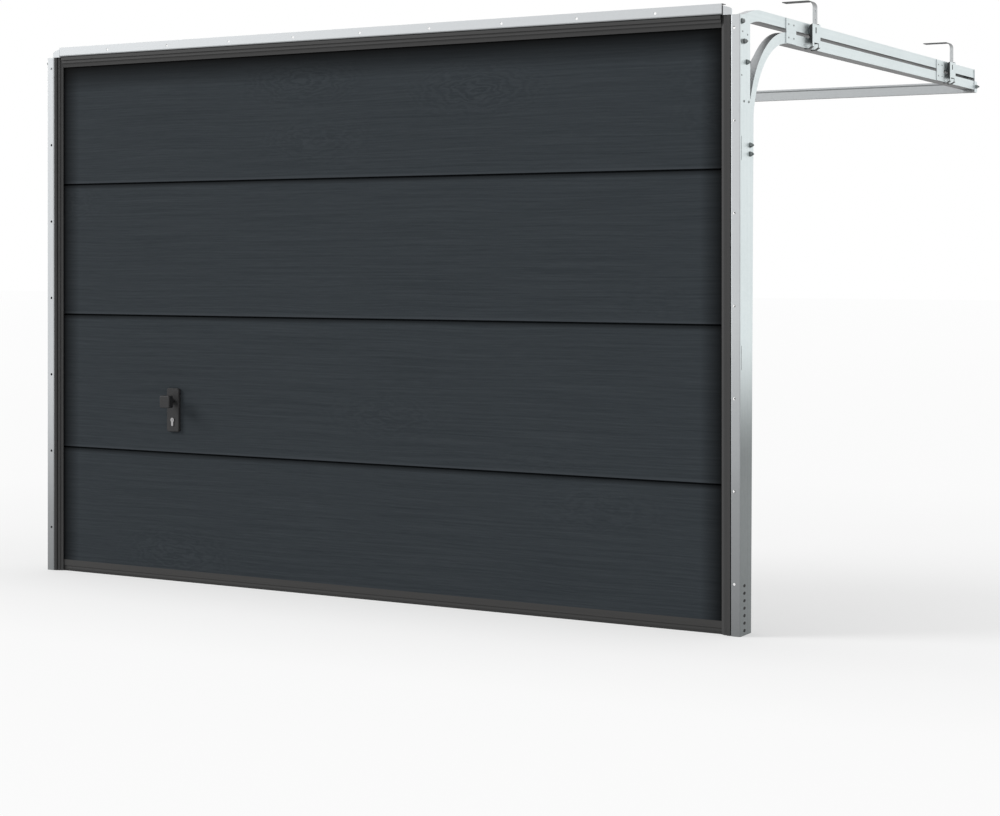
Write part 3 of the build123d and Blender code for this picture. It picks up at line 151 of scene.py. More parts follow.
# Spring coils, as long as the bars that stand for them. A hook's bends are shares of the
# coil's radius out from its axis, and heights above the coil's foot.
WIRE_RADIUS = 0.0036
WIRE_SIDES = 7
COIL_PITCH = 0.0078
COIL_STEPS = 14
COIL_FOOT = FLOOR + 0.190
COIL_CREASE = 60
SPRING_AXIS = POST_SIDE - 0.025
HOOK_SHARE = 0.9
HOOK_BENDS = ((1.0, WIRE_RADIUS), (0.4, -0.004), (0.0, -0.008))
PIN_RADIUS = 0.0048
PIN_SIDES = 16
PIN_RISE = 0.005
PIN_INNER = 0.006
PIN_OUTER = POST_SIDE - 0.002

# Shading that follows the photo's light and stays in the materials. A tone is the share of a
# surface's own tone that is left, a range holds the distances over which it comes back, and a
# facing holds the parts of the normal between which a side or an underside begins.
# Steel: painted reflection on the sides, painted shade underneath, beside seams and at folds,
# and painted reflection and shade towards the feet of the posts
SIDE_FACING = (0.75, 0.98)
UNDER_FACING = (-0.95, 0.0)
UNDERSIDE_SHADE = 0.03
SEAM_SHADE_TONE = 0.10
SEAM_SHADE_RANGE = (0.0015, 0.0035)
FOLD_DROP = 0.011
FOLD_SHADE_TONE = 0.40
FOLD_SHADE_RANGE = (0.0012, 0.0030)
SIDE_FOOT_SHADE_TONE = 0.265
SIDE_FOOT_SHADE_RANGE = (0.60, 1.06)
FRONT_FOOT_SHADE_TONE = 0.66
FRONT_FOOT_SHADE_RANGE = (0.0, 0.60)

# Small steel parts: painted shade underneath and near their top
PLATE_UNDER_FACING = (-0.9, -0.2)
PLATE_TOP_SHADE_TONE = 0.25
PLATE_TOP_SHADE_RANGE = (0.006, 0.030)
PLATE_METALLIC = 0.9
PLATE_SPECULAR = 0.5

# Painted shade on a strip's outside edge, and on the leaf beside the seals, under the header seal
# and round each joint; a painted highlight on the lip above a joint
STRIP_EDGE_SHADE_TONE = 0.05
LEFT_SEAL_SHADE_TONE = 0.09
RIGHT_SEAL_SHADE_TONE = 0.10
SIDE_SEAL_SHADE_RANGE = (0.0, 0.085)
HEADER_SHADE_TONE = 0.0
HEADER_SHADE_RANGE = (0.0, 0.11)
JOINT_SHADE_TONE = 0.30
JOINT_SHADE_RANGE = (0.004, 0.021)
JOINT_SHADE_EDGE = (-0.0045, -0.0035)
LIP_HIGHLIGHT_RANGE = (-0.016, -0.006)
LIP_HIGHLIGHT_TONE = 0.7

# Camera
LENS = 73.895
SENSOR = 36.0
TURN = math.radians(29.591)
CAMERA = Vector((4.358, -6.583, FLOOR + 1.303))
SHIFT_DOWN = -0.1475
SIGHT = 200

# Studio: the sun's direction seen from above, the floor's size, how far from the door it turns
# wholly white, and how white it is at some distances before that
ROOM_LEVEL = 0.56
SUN_LEVEL = 2.0
SUN_ANGLE = math.radians(22)
SUN_HEIGHT = math.radians(25)
SUN_SIDE = (-0.87, -0.49)
FLOOR_HALF = 60.0
FLOOR_REACH = 20.0
FLOOR_LEVELS = ((0.5, 0.72), (1.2, 0.88), (6.0, 0.95))
FLOOR_LEVEL_AT_DOOR = 0.48
FLOOR_COLOR = (0.93, 0.93, 0.93, 1)
FLOOR_WHITE = (0.985, 0.985, 0.985, 1)
BESIDE_SHARE = 0.4
BEHIND_SHARE = 0.25


def linear(red, green, blue):
    """An 8-bit sRGB colour in the linear values that shaders take."""
    def one(value):
        share = value / 255
        return share / 12.92 if share <= 0.04045 else ((share + 0.055) / 1.055) ** 2.4
    return one(red), one(green), one(blue), 1.0


BLACK = linear(8, 8, 8)


class Finish:
    """A material with one Principled shader and short ways to add the nodes behind it."""

    def __init__(self, name, roughness, metallic=0.0, specular=0.5):
        self.material = bpy.data.materials.new(name)
        self.material.use_nodes = True
        self.tree = self.material.node_tree
        self.shader = self.tree.nodes["Principled BSDF"]
        self.shader.inputs["Roughness"].default_value = roughness
        self.shader.inputs["Metallic"].default_value = metallic
        self.shader.inputs["Specular IOR Level"].default_value = specular
        self.texture = self.tree.nodes.new("ShaderNodeTexCoord")
        self.place = self.texture.outputs["Object"]
        self.facing = self.texture.outputs["Normal"]

    def link(self, value, socket):
        """Join an output to a socket, or write a plain value on it."""
        if isinstance(value, bpy.types.NodeSocket):
            self.tree.links.new(value, socket)
        else:
            socket.default_value = value

    def scaled(self, x, y, z):
        node = self.tree.nodes.new("ShaderNodeMapping")
        self.link(self.place, node.inputs["Vector"])
        node.inputs["Scale"].default_value = (x, y, z)
        return node.outputs["Vector"]

    def noise(self, vector, detail=2.0, roughness=0.5):
        node = self.tree.nodes.new("ShaderNodeTexNoise")
        self.link(vector, node.inputs["Vector"])
        node.inputs["Scale"].default_value = 1.0
        node.inputs["Detail"].default_value = detail
        node.inputs["Roughness"].default_value = roughness
        return node.outputs["Fac"]

    def even_noise(self, scale, detail=2.0):
        """Noise of one scale in all directions."""
        return self.noise(self.scaled(scale, scale, scale), detail)

    def cells(self, vector, output="Distance"):
        node = self.tree.nodes.new("ShaderNodeTexVoronoi")
        self.link(vector, node.inputs["Vector"])
        node.inputs["Scale"].default_value = 1.0
        return node.outputs[output]

    def math(self, operation, first, second=0.0, third=0.0):
        node = self.tree.nodes.new("ShaderNodeMath")
        node.operation = operation
        for value, socket in zip((first, second, third), node.inputs):
            self.link(value, socket)
        return node.outputs["Value"]

    def product(self, first, second):
        return self.math("MULTIPLY", first, second)

    def apart(self, first, second):
        """How far two values are apart, whichever is larger."""
        return self.math("ABSOLUTE", self.math("SUBTRACT", first, second))

    def spread(self, value, low, high, start=0.0, end=1.0, smooth=False):
        """A value between low and high, moved onto the range from start to end, and clamped."""
        node = self.tree.nodes.new("ShaderNodeMapRange")
        node.interpolation_type = "SMOOTHSTEP" if smooth else "LINEAR"
        self.link(value, node.inputs["Value"])
        node.inputs["From Min"].default_value = low
        node.inputs["From Max"].default_value = high
        node.inputs["To Min"].default_value = start
        node.inputs["To Max"].default_value = end
        return node.outputs["Result"]

    def axes(self, vector=None):
        node = self.tree.nodes.new("ShaderNodeSeparateXYZ")
        self.link(vector or self.place, node.inputs["Vector"])
        return node.outputs["X"], node.outputs["Y"], node.outputs["Z"]

    def vector(self, x, y, z):
        node = self.tree.nodes.new("ShaderNodeCombineXYZ")
        for value, socket in zip((x, y, z), node.inputs):
            self.link(value, socket)
        return node.outputs["Vector"]

    def blend(self, share, first, second):
        """A colour between two colours."""
        node = self.tree.nodes.new("ShaderNodeMix")
        node.data_type = "RGBA"
        self.link(share, node.inputs["Factor"])
        self.link(first, node.inputs["A"])
        self.link(second, node.inputs["B"])
        return node.outputs["Result"]

    def bump(self, height, distance, strength):
        node = self.tree.nodes.new("ShaderNodeBump")
        node.inputs["Distance"].default_value = distance
        node.inputs["Strength"].default_value = strength
        self.link(height, node.inputs["Height"])
        self.tree.links.new(node.outputs["Normal"], self.shader.inputs["Normal"])

    def color(self, value):
        self.link(value, self.shader.inputs["Base Color"])

    def rough(self, value):
        self.link(value, self.shader.inputs["Roughness"])


def galvanised(name, along, front=1.0, foot=None, fold=None, seam=None):
    """Zinc-coated sheet with faint spangle, and streaks along the way that it was rolled.

    Its tones carry painted light and shade. Sides that face along the door are palest, a painted
    reflection, undersides are dark with painted shade, and front scales the tone of all other
    sides as painted shade. A post darkens towards the floor with painted reflection and shade:
    foot gives the heights between which its front does, and the share that is left there. fold is
    the height of a painted shadow line, and the sheet has painted shade on both sides of a seam."""
    finish = Finish(name, roughness=0.4, metallic=0.85)
    streaks = [0.6 if axis == along else 130 for axis in "xyz"]
    streak = finish.noise(finish.scaled(*streaks))
    spangle = finish.axes(finish.cells(finish.scaled(75, 75, 75), "Color"))[0]
    cloud = finish.even_noise(3, detail=3.0)
    mottle = finish.math("MULTIPLY_ADD", spangle, 0.12, finish.product(streak, 0.55))
    mottle = finish.math("MULTIPLY_ADD", cloud, 0.4, mottle)
    facing_x, _, facing_z = finish.axes(finish.facing)
    x, _, z = finish.axes()
    outward = finish.product(facing_x, finish.math("SIGN", x))
    painted_reflection_sides = finish.spread(outward, *SIDE_FACING)

    # Painted reflection: sides that face along the door get the paler tones, and front scales the
    # other sides' tones as painted shade
    dark = finish.blend(painted_reflection_sides, linear(178 * front, 181 * front, 183 * front),
                        linear(221, 231, 232))
    pale = finish.blend(painted_reflection_sides, linear(198 * front, 201 * front, 203 * front),
                        linear(237, 246, 247))
    # Painted shade: undersides darken towards black
    share = finish.spread(facing_z, *UNDER_FACING, UNDERSIDE_SHADE, 1.0)
    # Painted shadow line at the height of a fold
    if fold is not None:
        left = finish.spread(finish.apart(z, fold), *FOLD_SHADE_RANGE, FOLD_SHADE_TONE, 1.0)
        share = finish.product(share, left)
    # Painted shade on both sides of a seam
    if seam is not None:
        left = finish.spread(finish.apart(seam, x), *SEAM_SHADE_RANGE, SEAM_SHADE_TONE, 1.0)
        share = finish.product(share, left)
    # Painted reflection and shade: a post's sides and front darken towards the floor
    if foot is not None:
        height = finish.math("SUBTRACT", z, FLOOR)
        side_foot_shade = finish.spread(height, *SIDE_FOOT_SHADE_RANGE, SIDE_FOOT_SHADE_TONE, 1.0, smooth=True)
        front_foot_shade = finish.product(finish.spread(height, *foot, 1.0),
                                     finish.spread(height, *FRONT_FOOT_SHADE_RANGE, FRONT_FOOT_SHADE_TONE, 1.0))
        change = finish.math("SUBTRACT", side_foot_shade, front_foot_shade)
        share = finish.product(share, finish.math("MULTIPLY_ADD", change, painted_reflection_sides, front_foot_shade))
    finish.color(finish.blend(share, BLACK, finish.blend(mottle, dark, pale)))
    finish.rough(finish.spread(mottle, 0.2, 0.8, 0.46, 0.34))
    finish.bump(finish.math("MULTIPLY_ADD", spangle, 0.3, streak), 0.00006, 0.35)
    return finish.material


def leaf_grain(finish, x, z):
    """Wood grain: long fine lines that drift, pores, and rings round a few scattered centres."""
    def stretched(across, up, height=z, shift=0.0):
        return finish.vector(finish.product(x, across), shift, finish.product(height, up))

    drift = finish.noise(stretched(1.3, 4.0), detail=1.0)
    height = finish.math("MULTIPLY_ADD", drift, 0.03, z)
    lines = finish.noise(stretched(1.6, 120.0, height), detail=4.0, roughness=0.7)
    pores = finish.noise(stretched(14.0, 420.0, height, 3.0))
    distance = finish.cells(stretched(0.95, 2.6, height))
    wobble = finish.noise(stretched(12.0, 40.0, z, 7.0), detail=3.0)
    ring = finish.math("MULTIPLY_ADD", wobble, 26.0, finish.product(distance, 150.0))
    ring = finish.math("MULTIPLY_ADD", finish.math("SINE", ring), 0.3, 0.5)
    near = finish.spread(distance, 0.36, 0.05, 0.0, 0.5)
    grain = finish.math("MULTIPLY_ADD", finish.math("SUBTRACT", ring, lines), near, lines)
    return finish.math("MULTIPLY_ADD", pores, 0.45, grain)


def leaf_paint():
    """Anthracite skin with an embossed wood grain outside, and pale grey stucco inside.

    Outside it carries painted shade beside the seals, under the header seal and under each joint,
    and a painted highlight on the lip above a joint."""
    finish = Finish("leaf_paint", roughness=0.6, specular=0.03)
    x, y, z = finish.axes()
    grain = leaf_grain(finish, x, z)
    shade = finish.spread(grain, 0.45, 1.0)

    # Painted shade: the leaf darkens beside the seals, under the header seal and under each joint
    edge = finish.spread(finish.math("ADD", x, OPENING), *SIDE_SEAL_SHADE_RANGE, LEFT_SEAL_SHADE_TONE, 1.0)
    from_right = finish.math("SUBTRACT", OPENING, x)
    edge = finish.product(edge, finish.spread(from_right, *SIDE_SEAL_SHADE_RANGE, RIGHT_SEAL_SHADE_TONE, 1.0))
    from_header = finish.math("SUBTRACT", HEADER_FOOT, z)
    edge = finish.product(edge, finish.spread(from_header, *HEADER_SHADE_RANGE, HEADER_SHADE_TONE, 1.0))
    for joint in JOINTS:
        depth = finish.math("SUBTRACT", joint, z)
        above = finish.spread(depth, *JOINT_SHADE_EDGE, 1.0, 0.0)
        below = finish.spread(depth, *JOINT_SHADE_RANGE, JOINT_SHADE_TONE, 1.0)
        edge = finish.product(edge, finish.math("MAXIMUM", above, below))
        # Painted highlight: the lip above a joint is paler
        lip = finish.product(above, finish.spread(depth, *LIP_HIGHLIGHT_RANGE, 0.0, LIP_HIGHLIGHT_TONE))
        shade = finish.math("ADD", shade, lip)

    outer = finish.blend(shade, linear(46, 51, 55), linear(61, 66, 70))
    outer = finish.blend(edge, linear(4, 4, 4), outer)
    stucco = finish.even_noise(420)
    inner = finish.blend(stucco, linear(212, 215, 212), linear(222, 225, 222))
    inside = finish.spread(y, LEAF_INSIDE - 0.004, LEAF_INSIDE - 0.003)
    finish.color(finish.blend(inside, outer, inner))
    relief = finish.product(grain, finish.math("SUBTRACT", 1.0, inside))
    relief = finish.math("MULTIPLY_ADD", finish.product(stucco, inside), 0.6, relief)
    finish.bump(relief, 0.0007, 0.5)
    return finish.material


def painted_rail():
    """Anthracite rail with fine drawing lines along it."""
    finish = Finish("painted_rail", roughness=0.45, specular=0.35)
    streak = finish.noise(finish.scaled(0.8, 160, 160))
    finish.color(finish.blend(streak, linear(45, 45, 45), linear(54, 53, 52)))
    finish.bump(streak, 0.0001, 0.4)
    return finish.material


def rubber(name, dark, pale, strip=None):
    """Dull rubber. A strip darkens from its inside to its outside edge with painted shade."""
    finish = Finish(name, roughness=0.6, specular=0.3)
    mottle = finish.even_noise(240)
    cloud = finish.even_noise(2)
    tone = finish.math("MULTIPLY_ADD", mottle, 0.35, finish.product(cloud, 0.65))
    color = finish.blend(tone, dark, pale)
    # Painted shade: a strip darkens towards its outside edge
    if strip is not None:
        outside, inside = strip
        share = finish.spread(finish.axes()[0], outside, inside, STRIP_EDGE_SHADE_TONE, 1.0)
        color = finish.blend(share, BLACK, color)
    finish.color(color)
    finish.bump(mottle, 0.0002, 0.5)
    return finish.material


def zinc_plate(name, dark, pale, underside=1.0, top=None):
    """Small pressed or turned steel parts with a zinc finish.

    They may be darker underneath, and near the height of their top, with painted shade."""
    finish = Finish(name, roughness=0.35)
    cloud = finish.even_noise(45, detail=3.0)
    facing_z = finish.axes(finish.facing)[2]
    # Painted shade: darker underneath and near the height of the top, with less metal and gloss
    # there
    share = finish.spread(facing_z, *PLATE_UNDER_FACING, underside, 1.0)
    if top is not None:
        depth = finish.math("SUBTRACT", top, finish.axes()[2])
        share = finish.product(share, finish.spread(depth, *PLATE_TOP_SHADE_RANGE, PLATE_TOP_SHADE_TONE, 1.0))
    finish.color(finish.blend(share, BLACK, finish.blend(cloud, dark, pale)))
    finish.link(finish.product(share, PLATE_METALLIC), finish.shader.inputs["Metallic"])
    finish.link(finish.product(share, PLATE_SPECULAR),
                finish.shader.inputs["Specular IOR Level"])
    finish.rough(finish.spread(cloud, 0.3, 0.7, 0.28, 0.44))
    finish.bump(finish.even_noise(500), 0.00006, 0.5)
    return finish.material


def nylon():
    """Moulded rollers."""
    finish = Finish("nylon", roughness=0.42)
    cloud = finish.even_noise(60)
    finish.color(finish.blend(cloud, linear(190, 190, 184), linear(208, 208, 203)))
    finish.bump(finish.even_noise(700), 0.0001, 0.4)
    return finish.material


def black_plastic():
    """Lock plate, lock case and knobs."""
    finish = Finish("black_plastic", roughness=0.5, specular=0.25)
    cloud = finish.even_noise(30)
    finish.color(finish.blend(cloud, linear(41, 41, 42), linear(50, 50, 51)))
    finish.bump(finish.even_noise(900), 0.00025, 0.6)
    return finish.material


def satin_nickel():
    """Lock cylinder, brushed across."""
    finish = Finish("satin_nickel", roughness=0.28, metallic=1.0)
    brushed = finish.noise(finish.scaled(60, 60, 2400))
    finish.color(finish.blend(brushed, linear(150, 149, 150), linear(178, 176, 178)))
    finish.bump(brushed, 0.00005, 0.4)
    return finish.material


def wire_rope():
    """Steel cable: fine slanting bands stand for its strands."""
    finish = Finish("wire_rope", roughness=0.38, metallic=0.9)
    x, y, z = finish.axes()
    slant = finish.product(finish.math("ADD", finish.math("ADD", x, y), z), 2600.0)
    strand = finish.math("MULTIPLY_ADD", finish.math("SINE", slant), 0.5, 0.5)
    finish.color(finish.blend(strand, linear(96, 98, 99), linear(168, 170, 171)))
    finish.bump(strand, 0.0003, 0.8)
    return finish.material


def across_box(name):
    """The left and right side of a node's box."""
    low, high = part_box(name)
    return low.x, high.x


finishes = {
    "steel_x": galvanised("galvanised_x", "x"),
    # Painted shade beside the seam at the header's end
    "header": galvanised("galvanised_header", "x", seam=HEADER_END),
    # Painted shadow line along the crossbar's fold
    "crossbar": galvanised("galvanised_crossbar", "x", fold=CROSSBAR_TOP - FOLD_DROP),
    # Painted shade: front darkens the hangers' fronts
    "hanger": galvanised("galvanised_hanger", "z", front=0.36),
    "steel_y": galvanised("galvanised_y", "y"),
    # Painted reflection and shade: the posts darken towards the floor
    "left_post": galvanised("galvanised_left_post", "z", foot=(0.25, 0.80, 0.70)),
    "right_post": galvanised("galvanised_right_post", "z", foot=(0.50, 1.10, 0.60)),
    "steel_z": galvanised("galvanised_z", "z"),
    "leaf": leaf_paint(),
    "rail": painted_rail(),
    "seal": rubber("seal_rubber", linear(52, 52, 52), linear(61, 61, 61)),
    # Left seal: a paler copy of the seal rubber, painted light, with painted shade towards its
    # outside edge
    "left_seal_lit": rubber("left_seal_lit_rubber", linear(70, 70, 70), linear(80, 80, 80),
                        strip=across_box("left_side_seal")),
    "foot": rubber("foot_rubber", linear(42, 42, 42), linear(52, 52, 51)),
    # Dark finish of the heads that stand for shade in the spring holes
    "hole_shade": rubber("anchor_hole_shade_dark", linear(22, 22, 22), linear(30, 30, 30)),
    "zinc": zinc_plate("zinc_plate", linear(158, 162, 164), linear(186, 189, 190)),
    # Painted shade on the straps' undersides and near their top
    "strap": zinc_plate("strap_steel", linear(178, 182, 184), linear(204, 207, 208),
                        underside=0.15, top=STRAP_TOP),
    "bolt": zinc_plate("bolt_steel", linear(108, 113, 113), linear(150, 155, 155)),
    "spring": zinc_plate("spring_steel", linear(84, 87, 89), linear(112, 115, 117)),
    "nylon": nylon(),
    "black": black_plastic(),
    "nickel": satin_nickel(),
    "rope": wire_rope(),
}

NODE_FINISHES = {
    "left_post": ["left_post"],
    "right_post": ["right_post"],
    "steel_z": ["left_vertical_track", "right_vertical_track", "left_end_caps",
                "right_end_caps"],
    "steel_x": ["track_end_brackets"],
    "header": ["header_profile", "corner_brackets"],
    "crossbar": ["rear_crossbar"],
    "hanger": ["left_hangers", "right_hangers"],
    "steel_y": ["left_track_bend", "right_track_bend", "left_lower_track", "right_lower_track",
                "left_upper_track", "right_upper_track", "left_splice_plates",
                "right_splice_plates"],
    "zinc": ["middle_hinges", "left_side_hinges", "right_side_hinges", "bottom_brackets",
             "top_brackets", "left_roller_axles", "right_roller_axles", "top_pulleys",
             "moving_pulleys", "lock_bar", "lock_strike"],
    "strap": ["left_hanger_rods", "right_hanger_rods"],
    "leaf": SECTIONS,
    "rail": ["bottom_rail"],
    "seal": ["right_side_seal", "header_seal"],
    "left_seal_lit": ["left_side_seal"],
    "foot": ["bottom_seal"],
    "nylon": ["left_rollers", "right_rollers"],
    "black": ["lock_plate", "knob", "lock_case", "inner_knob"],
    "nickel": ["lock_cylinder"],
    "rope": ["lift_cables"],
}


def dress_nodes():
    """Give each node of the frame its finish."""
    for finish, names in NODE_FINISHES.items():
        for name in names:
            node = nodes[name]
            if not node.material_slots:
                node.data.materials.append(None)
            for slot in node.material_slots:
                slot.link = "OBJECT"
                slot.material = finishes[finish]


def circle(radius, sides, height=0.0, turn=0.0):
    """Points round the Z axis."""
    points = []
    for step in range(sides):
        angle = turn + 2 * math.pi * step / sides
        points.append(Vector((radius * math.cos(angle), radius * math.sin(angle), height)))
    return points


def skin(mesh, rings):
    """Join rings of points into a closed form."""
    for lower, upper in zip(rings, rings[1:]):
        for step in range(len(lower)):
            after = (step + 1) % len(lower)
            mesh.faces.new((lower[step], lower[after], upper[after], upper[step]))
    mesh.faces.new(reversed(rings[0]))
    mesh.faces.new(rings[-1])


def turned(mesh, place, toward, profile, sides=18, turn=0.0, stretch=1.0):
    """Add a closed form on an axis. The profile is (height, radius) from its foot to its end."""
    rotation = Vector(toward).to_track_quat("Z", "Y").to_matrix().to_4x4()
    matrix = Matrix.Translation(place) @ rotation @ Matrix.Diagonal((stretch, 1, 1, 1))
    skin(mesh, [[mesh.verts.new(matrix @ point) for point in circle(radius, sides, height, turn)]
                for height, radius in profile])


def tube(mesh, points, radius, sides):
    """A round tube along points, closed at both ends."""
    rings = []
    for index, point in enumerate(points):
        before, after = points[max(index - 1, 0)], points[min(index + 1, len(points) - 1)]
        turn = (after - before).to_track_quat("Z", "Y").to_matrix()
        rings.append([mesh.verts.new(point + turn @ offset) for offset in circle(radius, sides)])
    skin(mesh, rings)


def piece(name, mesh, finish, crease=35):
    """Finish a mesh as one piece of the fixed body."""
    bmesh.ops.recalc_face_normals(mesh, faces=mesh.faces)
    for edge in mesh.edges:
        edge.smooth = edge.is_manifold and edge.calc_face_angle(math.pi) < math.radians(crease)
    for face in mesh.faces:
        face.smooth = True
    data = bpy.data.meshes.new(name)
    mesh.to_mesh(data)
    mesh.free()
    data.materials.append(finishes[finish])
    item = bpy.data.objects.new(name, data)
    bpy.context.scene.collection.objects.link(item)
    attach(item, "root")
    return item


def side_name(side):
    return "right" if side > 0 else "left"


def nut(mesh, place, toward, scale=1.0, reach=0.0):
    """Washer, hexagon nut with chamfered corners, and the rounded end of its bolt."""
    radius, height, washer = NUT_RADIUS * scale, NUT_HEIGHT * scale, WASHER_HEIGHT * scale
    stud = STUD_RADIUS * scale
    end = max(reach, washer + height + STUD_END)
    turned(mesh, place, toward, [(0, radius * WASHER_SPREAD), (washer, radius * WASHER_SPREAD)])
    hexagon = [(washer + height * up, radius * out) for up, out in NUT_HEXAGON]
    turned(mesh, place, toward, hexagon, sides=6, turn=HEXAGON_TURN)
    bolt = [(washer, stud), (end - stud * STUD_ROUND, stud), (end, stud * STUD_TIP)]
    turned(mesh, place, toward, bolt)


def rivet(mesh, place, toward, scale=1.0):
    """Low round head."""
    radius, height = RIVET_RADIUS * scale, RIVET_HEIGHT * scale
    turned(mesh, place, toward, [(height * up, radius * out) for up, out in DOME], sides=14)


def screw(mesh, place, turn=0.0):
    """Flanged hexagon screw that faces back, as the hinges' screws do."""
    toward = (0, 1, 0)
    radius, height = SCREW_RADIUS, SCREW_HEIGHT
    flange = [(0, radius * SCREW_FLANGE), (SCREW_FLANGE_EDGE, radius * SCREW_FLANGE),
              (SCREW_FLANGE_TOP, radius)]
    turned(mesh, place, toward, flange)
    head = [(SCREW_FLANGE_EDGE, radius)]
    head += [(height * up, radius * out) for up, out in SCREW_HEXAGON]
    turned(mesh, place, toward, head, sides=6, turn=turn)


def post_fasteners(side):
    """Nuts on the outer face of a post, one of them on a long pad."""
    mesh = bmesh.new()
    toward = (side, 0, 0)
    face = side * POST_SIDE
    reach = BOX_SIDE - POST_SIDE - BOX_MARGIN
    back, height = CORNER_NUT
    nut(mesh, (face, back, FLOOR + height), toward, CORNER_NUT_SCALE, CORNER_NUT_REACH)
    for back, height in TRACK_NUTS:
        nut(mesh, (face, back, FLOOR + height), toward, reach=reach * TRACK_NUT_SHARE)
    back, height = PULLEY_PAD
    pad = Vector((face, back, FLOOR + height))
    turned(mesh, pad, toward, PULLEY_PAD_PROFILE, stretch=PULLEY_PAD_STRETCH)
    nut(mesh, pad + Vector((side * PULLEY_NUT_SHIFT, PULLEY_NUT_SHIFT, 0)), toward,
        reach=reach * PULLEY_NUT_SHARE)
    return piece(f"{side_name(side)}_post_nuts", mesh, "bolt")


def post_rivets(side):
    mesh = bmesh.new()
    for back, height, scale in POST_RIVETS:
        rivet(mesh, (side * POST_SIDE, back, FLOOR + height), (side, 0, 0), scale)
    return piece(f"{side_name(side)}_post_rivets", mesh, "bolt")


def anchor_hole_shade(side):
    """Dark flat heads over the spring holes, painted shade that stands for the holes' dark insides.
    """
    mesh = bmesh.new()
    low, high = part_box("tension_springs")
    centre_y = (low.y + high.y) / 2
    for index in range(SHADED_HOLE_COUNT):
        height = FLOOR + SHADED_HOLE_FIRST + SHADED_HOLE_PITCH * index
        place = (side * (POST_SIDE - HOLE_SHADE_DEPTH), centre_y, height)
        turned(mesh, place, (side, 0, 0), HOLE_SHADE_STEM)
        turned(mesh, place, (side, 0, 0), HOLE_SHADE_HEAD, stretch=HOLE_SHADE_STRETCH)
    return piece(f"{side_name(side)}_anchor_hole_shade", mesh, "hole_shade")


def splice_bolts(side):
    """Four round bolt heads on each splice plate, near its corners."""
    mesh = bmesh.new()
    low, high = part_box("right_splice_plates")
    for start in (low.y, high.y - SPLICE_LENGTH):
        for place in SPLICE_PLACES:
            for z in (low.z + SPLICE_INSET, high.z - SPLICE_INSET):
                rivet(mesh, (side * SPLICE_SIDE, start + place, z), (side, 0, 0),
                      SPLICE_BOLT_SCALE)
    return piece(f"{side_name(side)}_splice_bolts", mesh, "bolt")


def end_bolts():
    """Bolts that hold the crossbar to the end brackets."""
    mesh = bmesh.new()
    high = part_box("track_end_brackets")[1]
    for side in (1, -1):
        place = (side * high.x, high.y - END_BOLT_INSET, FLOOR + END_BOLT_HEIGHT)
        nut(mesh, place, (side, 0, 0), reach=BOX_SIDE - high.x - BOX_MARGIN)
    return piece("crossbar_bolts", mesh, "bolt")


def hinge_screws():
    """Screws of the middle hinges, two rows of two in each leaf."""
    mesh = bmesh.new()
    back = LEAF_INSIDE + HINGE_SHEET
    low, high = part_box("middle_hinges")
    for joint in JOINTS:
        for x in (low.x + HINGE_INSET, 0.0, high.x - HINGE_INSET):
            for dx in HINGE_SCREW_SIDES:
                for dz in HINGE_SCREW_HEIGHTS:
                    screw(mesh, (x + dx, back, joint + dz), turn=x + dz * HINGE_SCREW_TWIST)
    return piece("middle_hinge_screws", mesh, "zinc")


def carrier_screws(side):
    """Screws of the side hinges on the end caps."""
    mesh = bmesh.new()
    low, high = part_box("right_side_hinges")
    back = CAP_BACK + HINGE_SHEET
    middle = (low.x + high.x) / 2
    lower, upper = CARRIER_SCREW_DROPS
    for joint in JOINTS:
        for dx in CARRIER_SCREW_SIDES:
            x = side * (middle + dx)
            screw(mesh, (x, back, joint - lower), turn=joint)
            screw(mesh, (x, back, joint - upper), turn=joint + dx)
    return piece(f"{side_name(side)}_side_hinge_screws", mesh, "zinc")


def cap_rivets():
    """Rivets down the inner flange of the end caps."""
    mesh = bmesh.new()
    edge = LEAF_EDGE - CAP_INSET
    ends = [FLOOR + CAP_FOOT] + [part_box(name)[1].z for name in SECTIONS]
    for low, high in zip(ends, ends[1:]):
        for share in CAP_SHARES:
            z = low + (high - low) * share
            for side in (1, -1):
                rivet(mesh, (side * edge, CAP_BACK, z), (0, 1, 0), CAP_RIVET_SCALE)
    return piece("end_cap_rivets", mesh, "zinc")


def case_screws():
    """Four screws near the corners of the inner lock case."""
    mesh = bmesh.new()
    low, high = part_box("lock_case")
    for x in (low.x + CASE_INSET, high.x - CASE_INSET):
        for z in (low.z + CASE_INSET, high.z - CASE_INSET):
            rivet(mesh, (x, high.y, z), (0, 1, 0), CASE_SCREW_SCALE)
    return piece("lock_case_screws", mesh, "zinc")


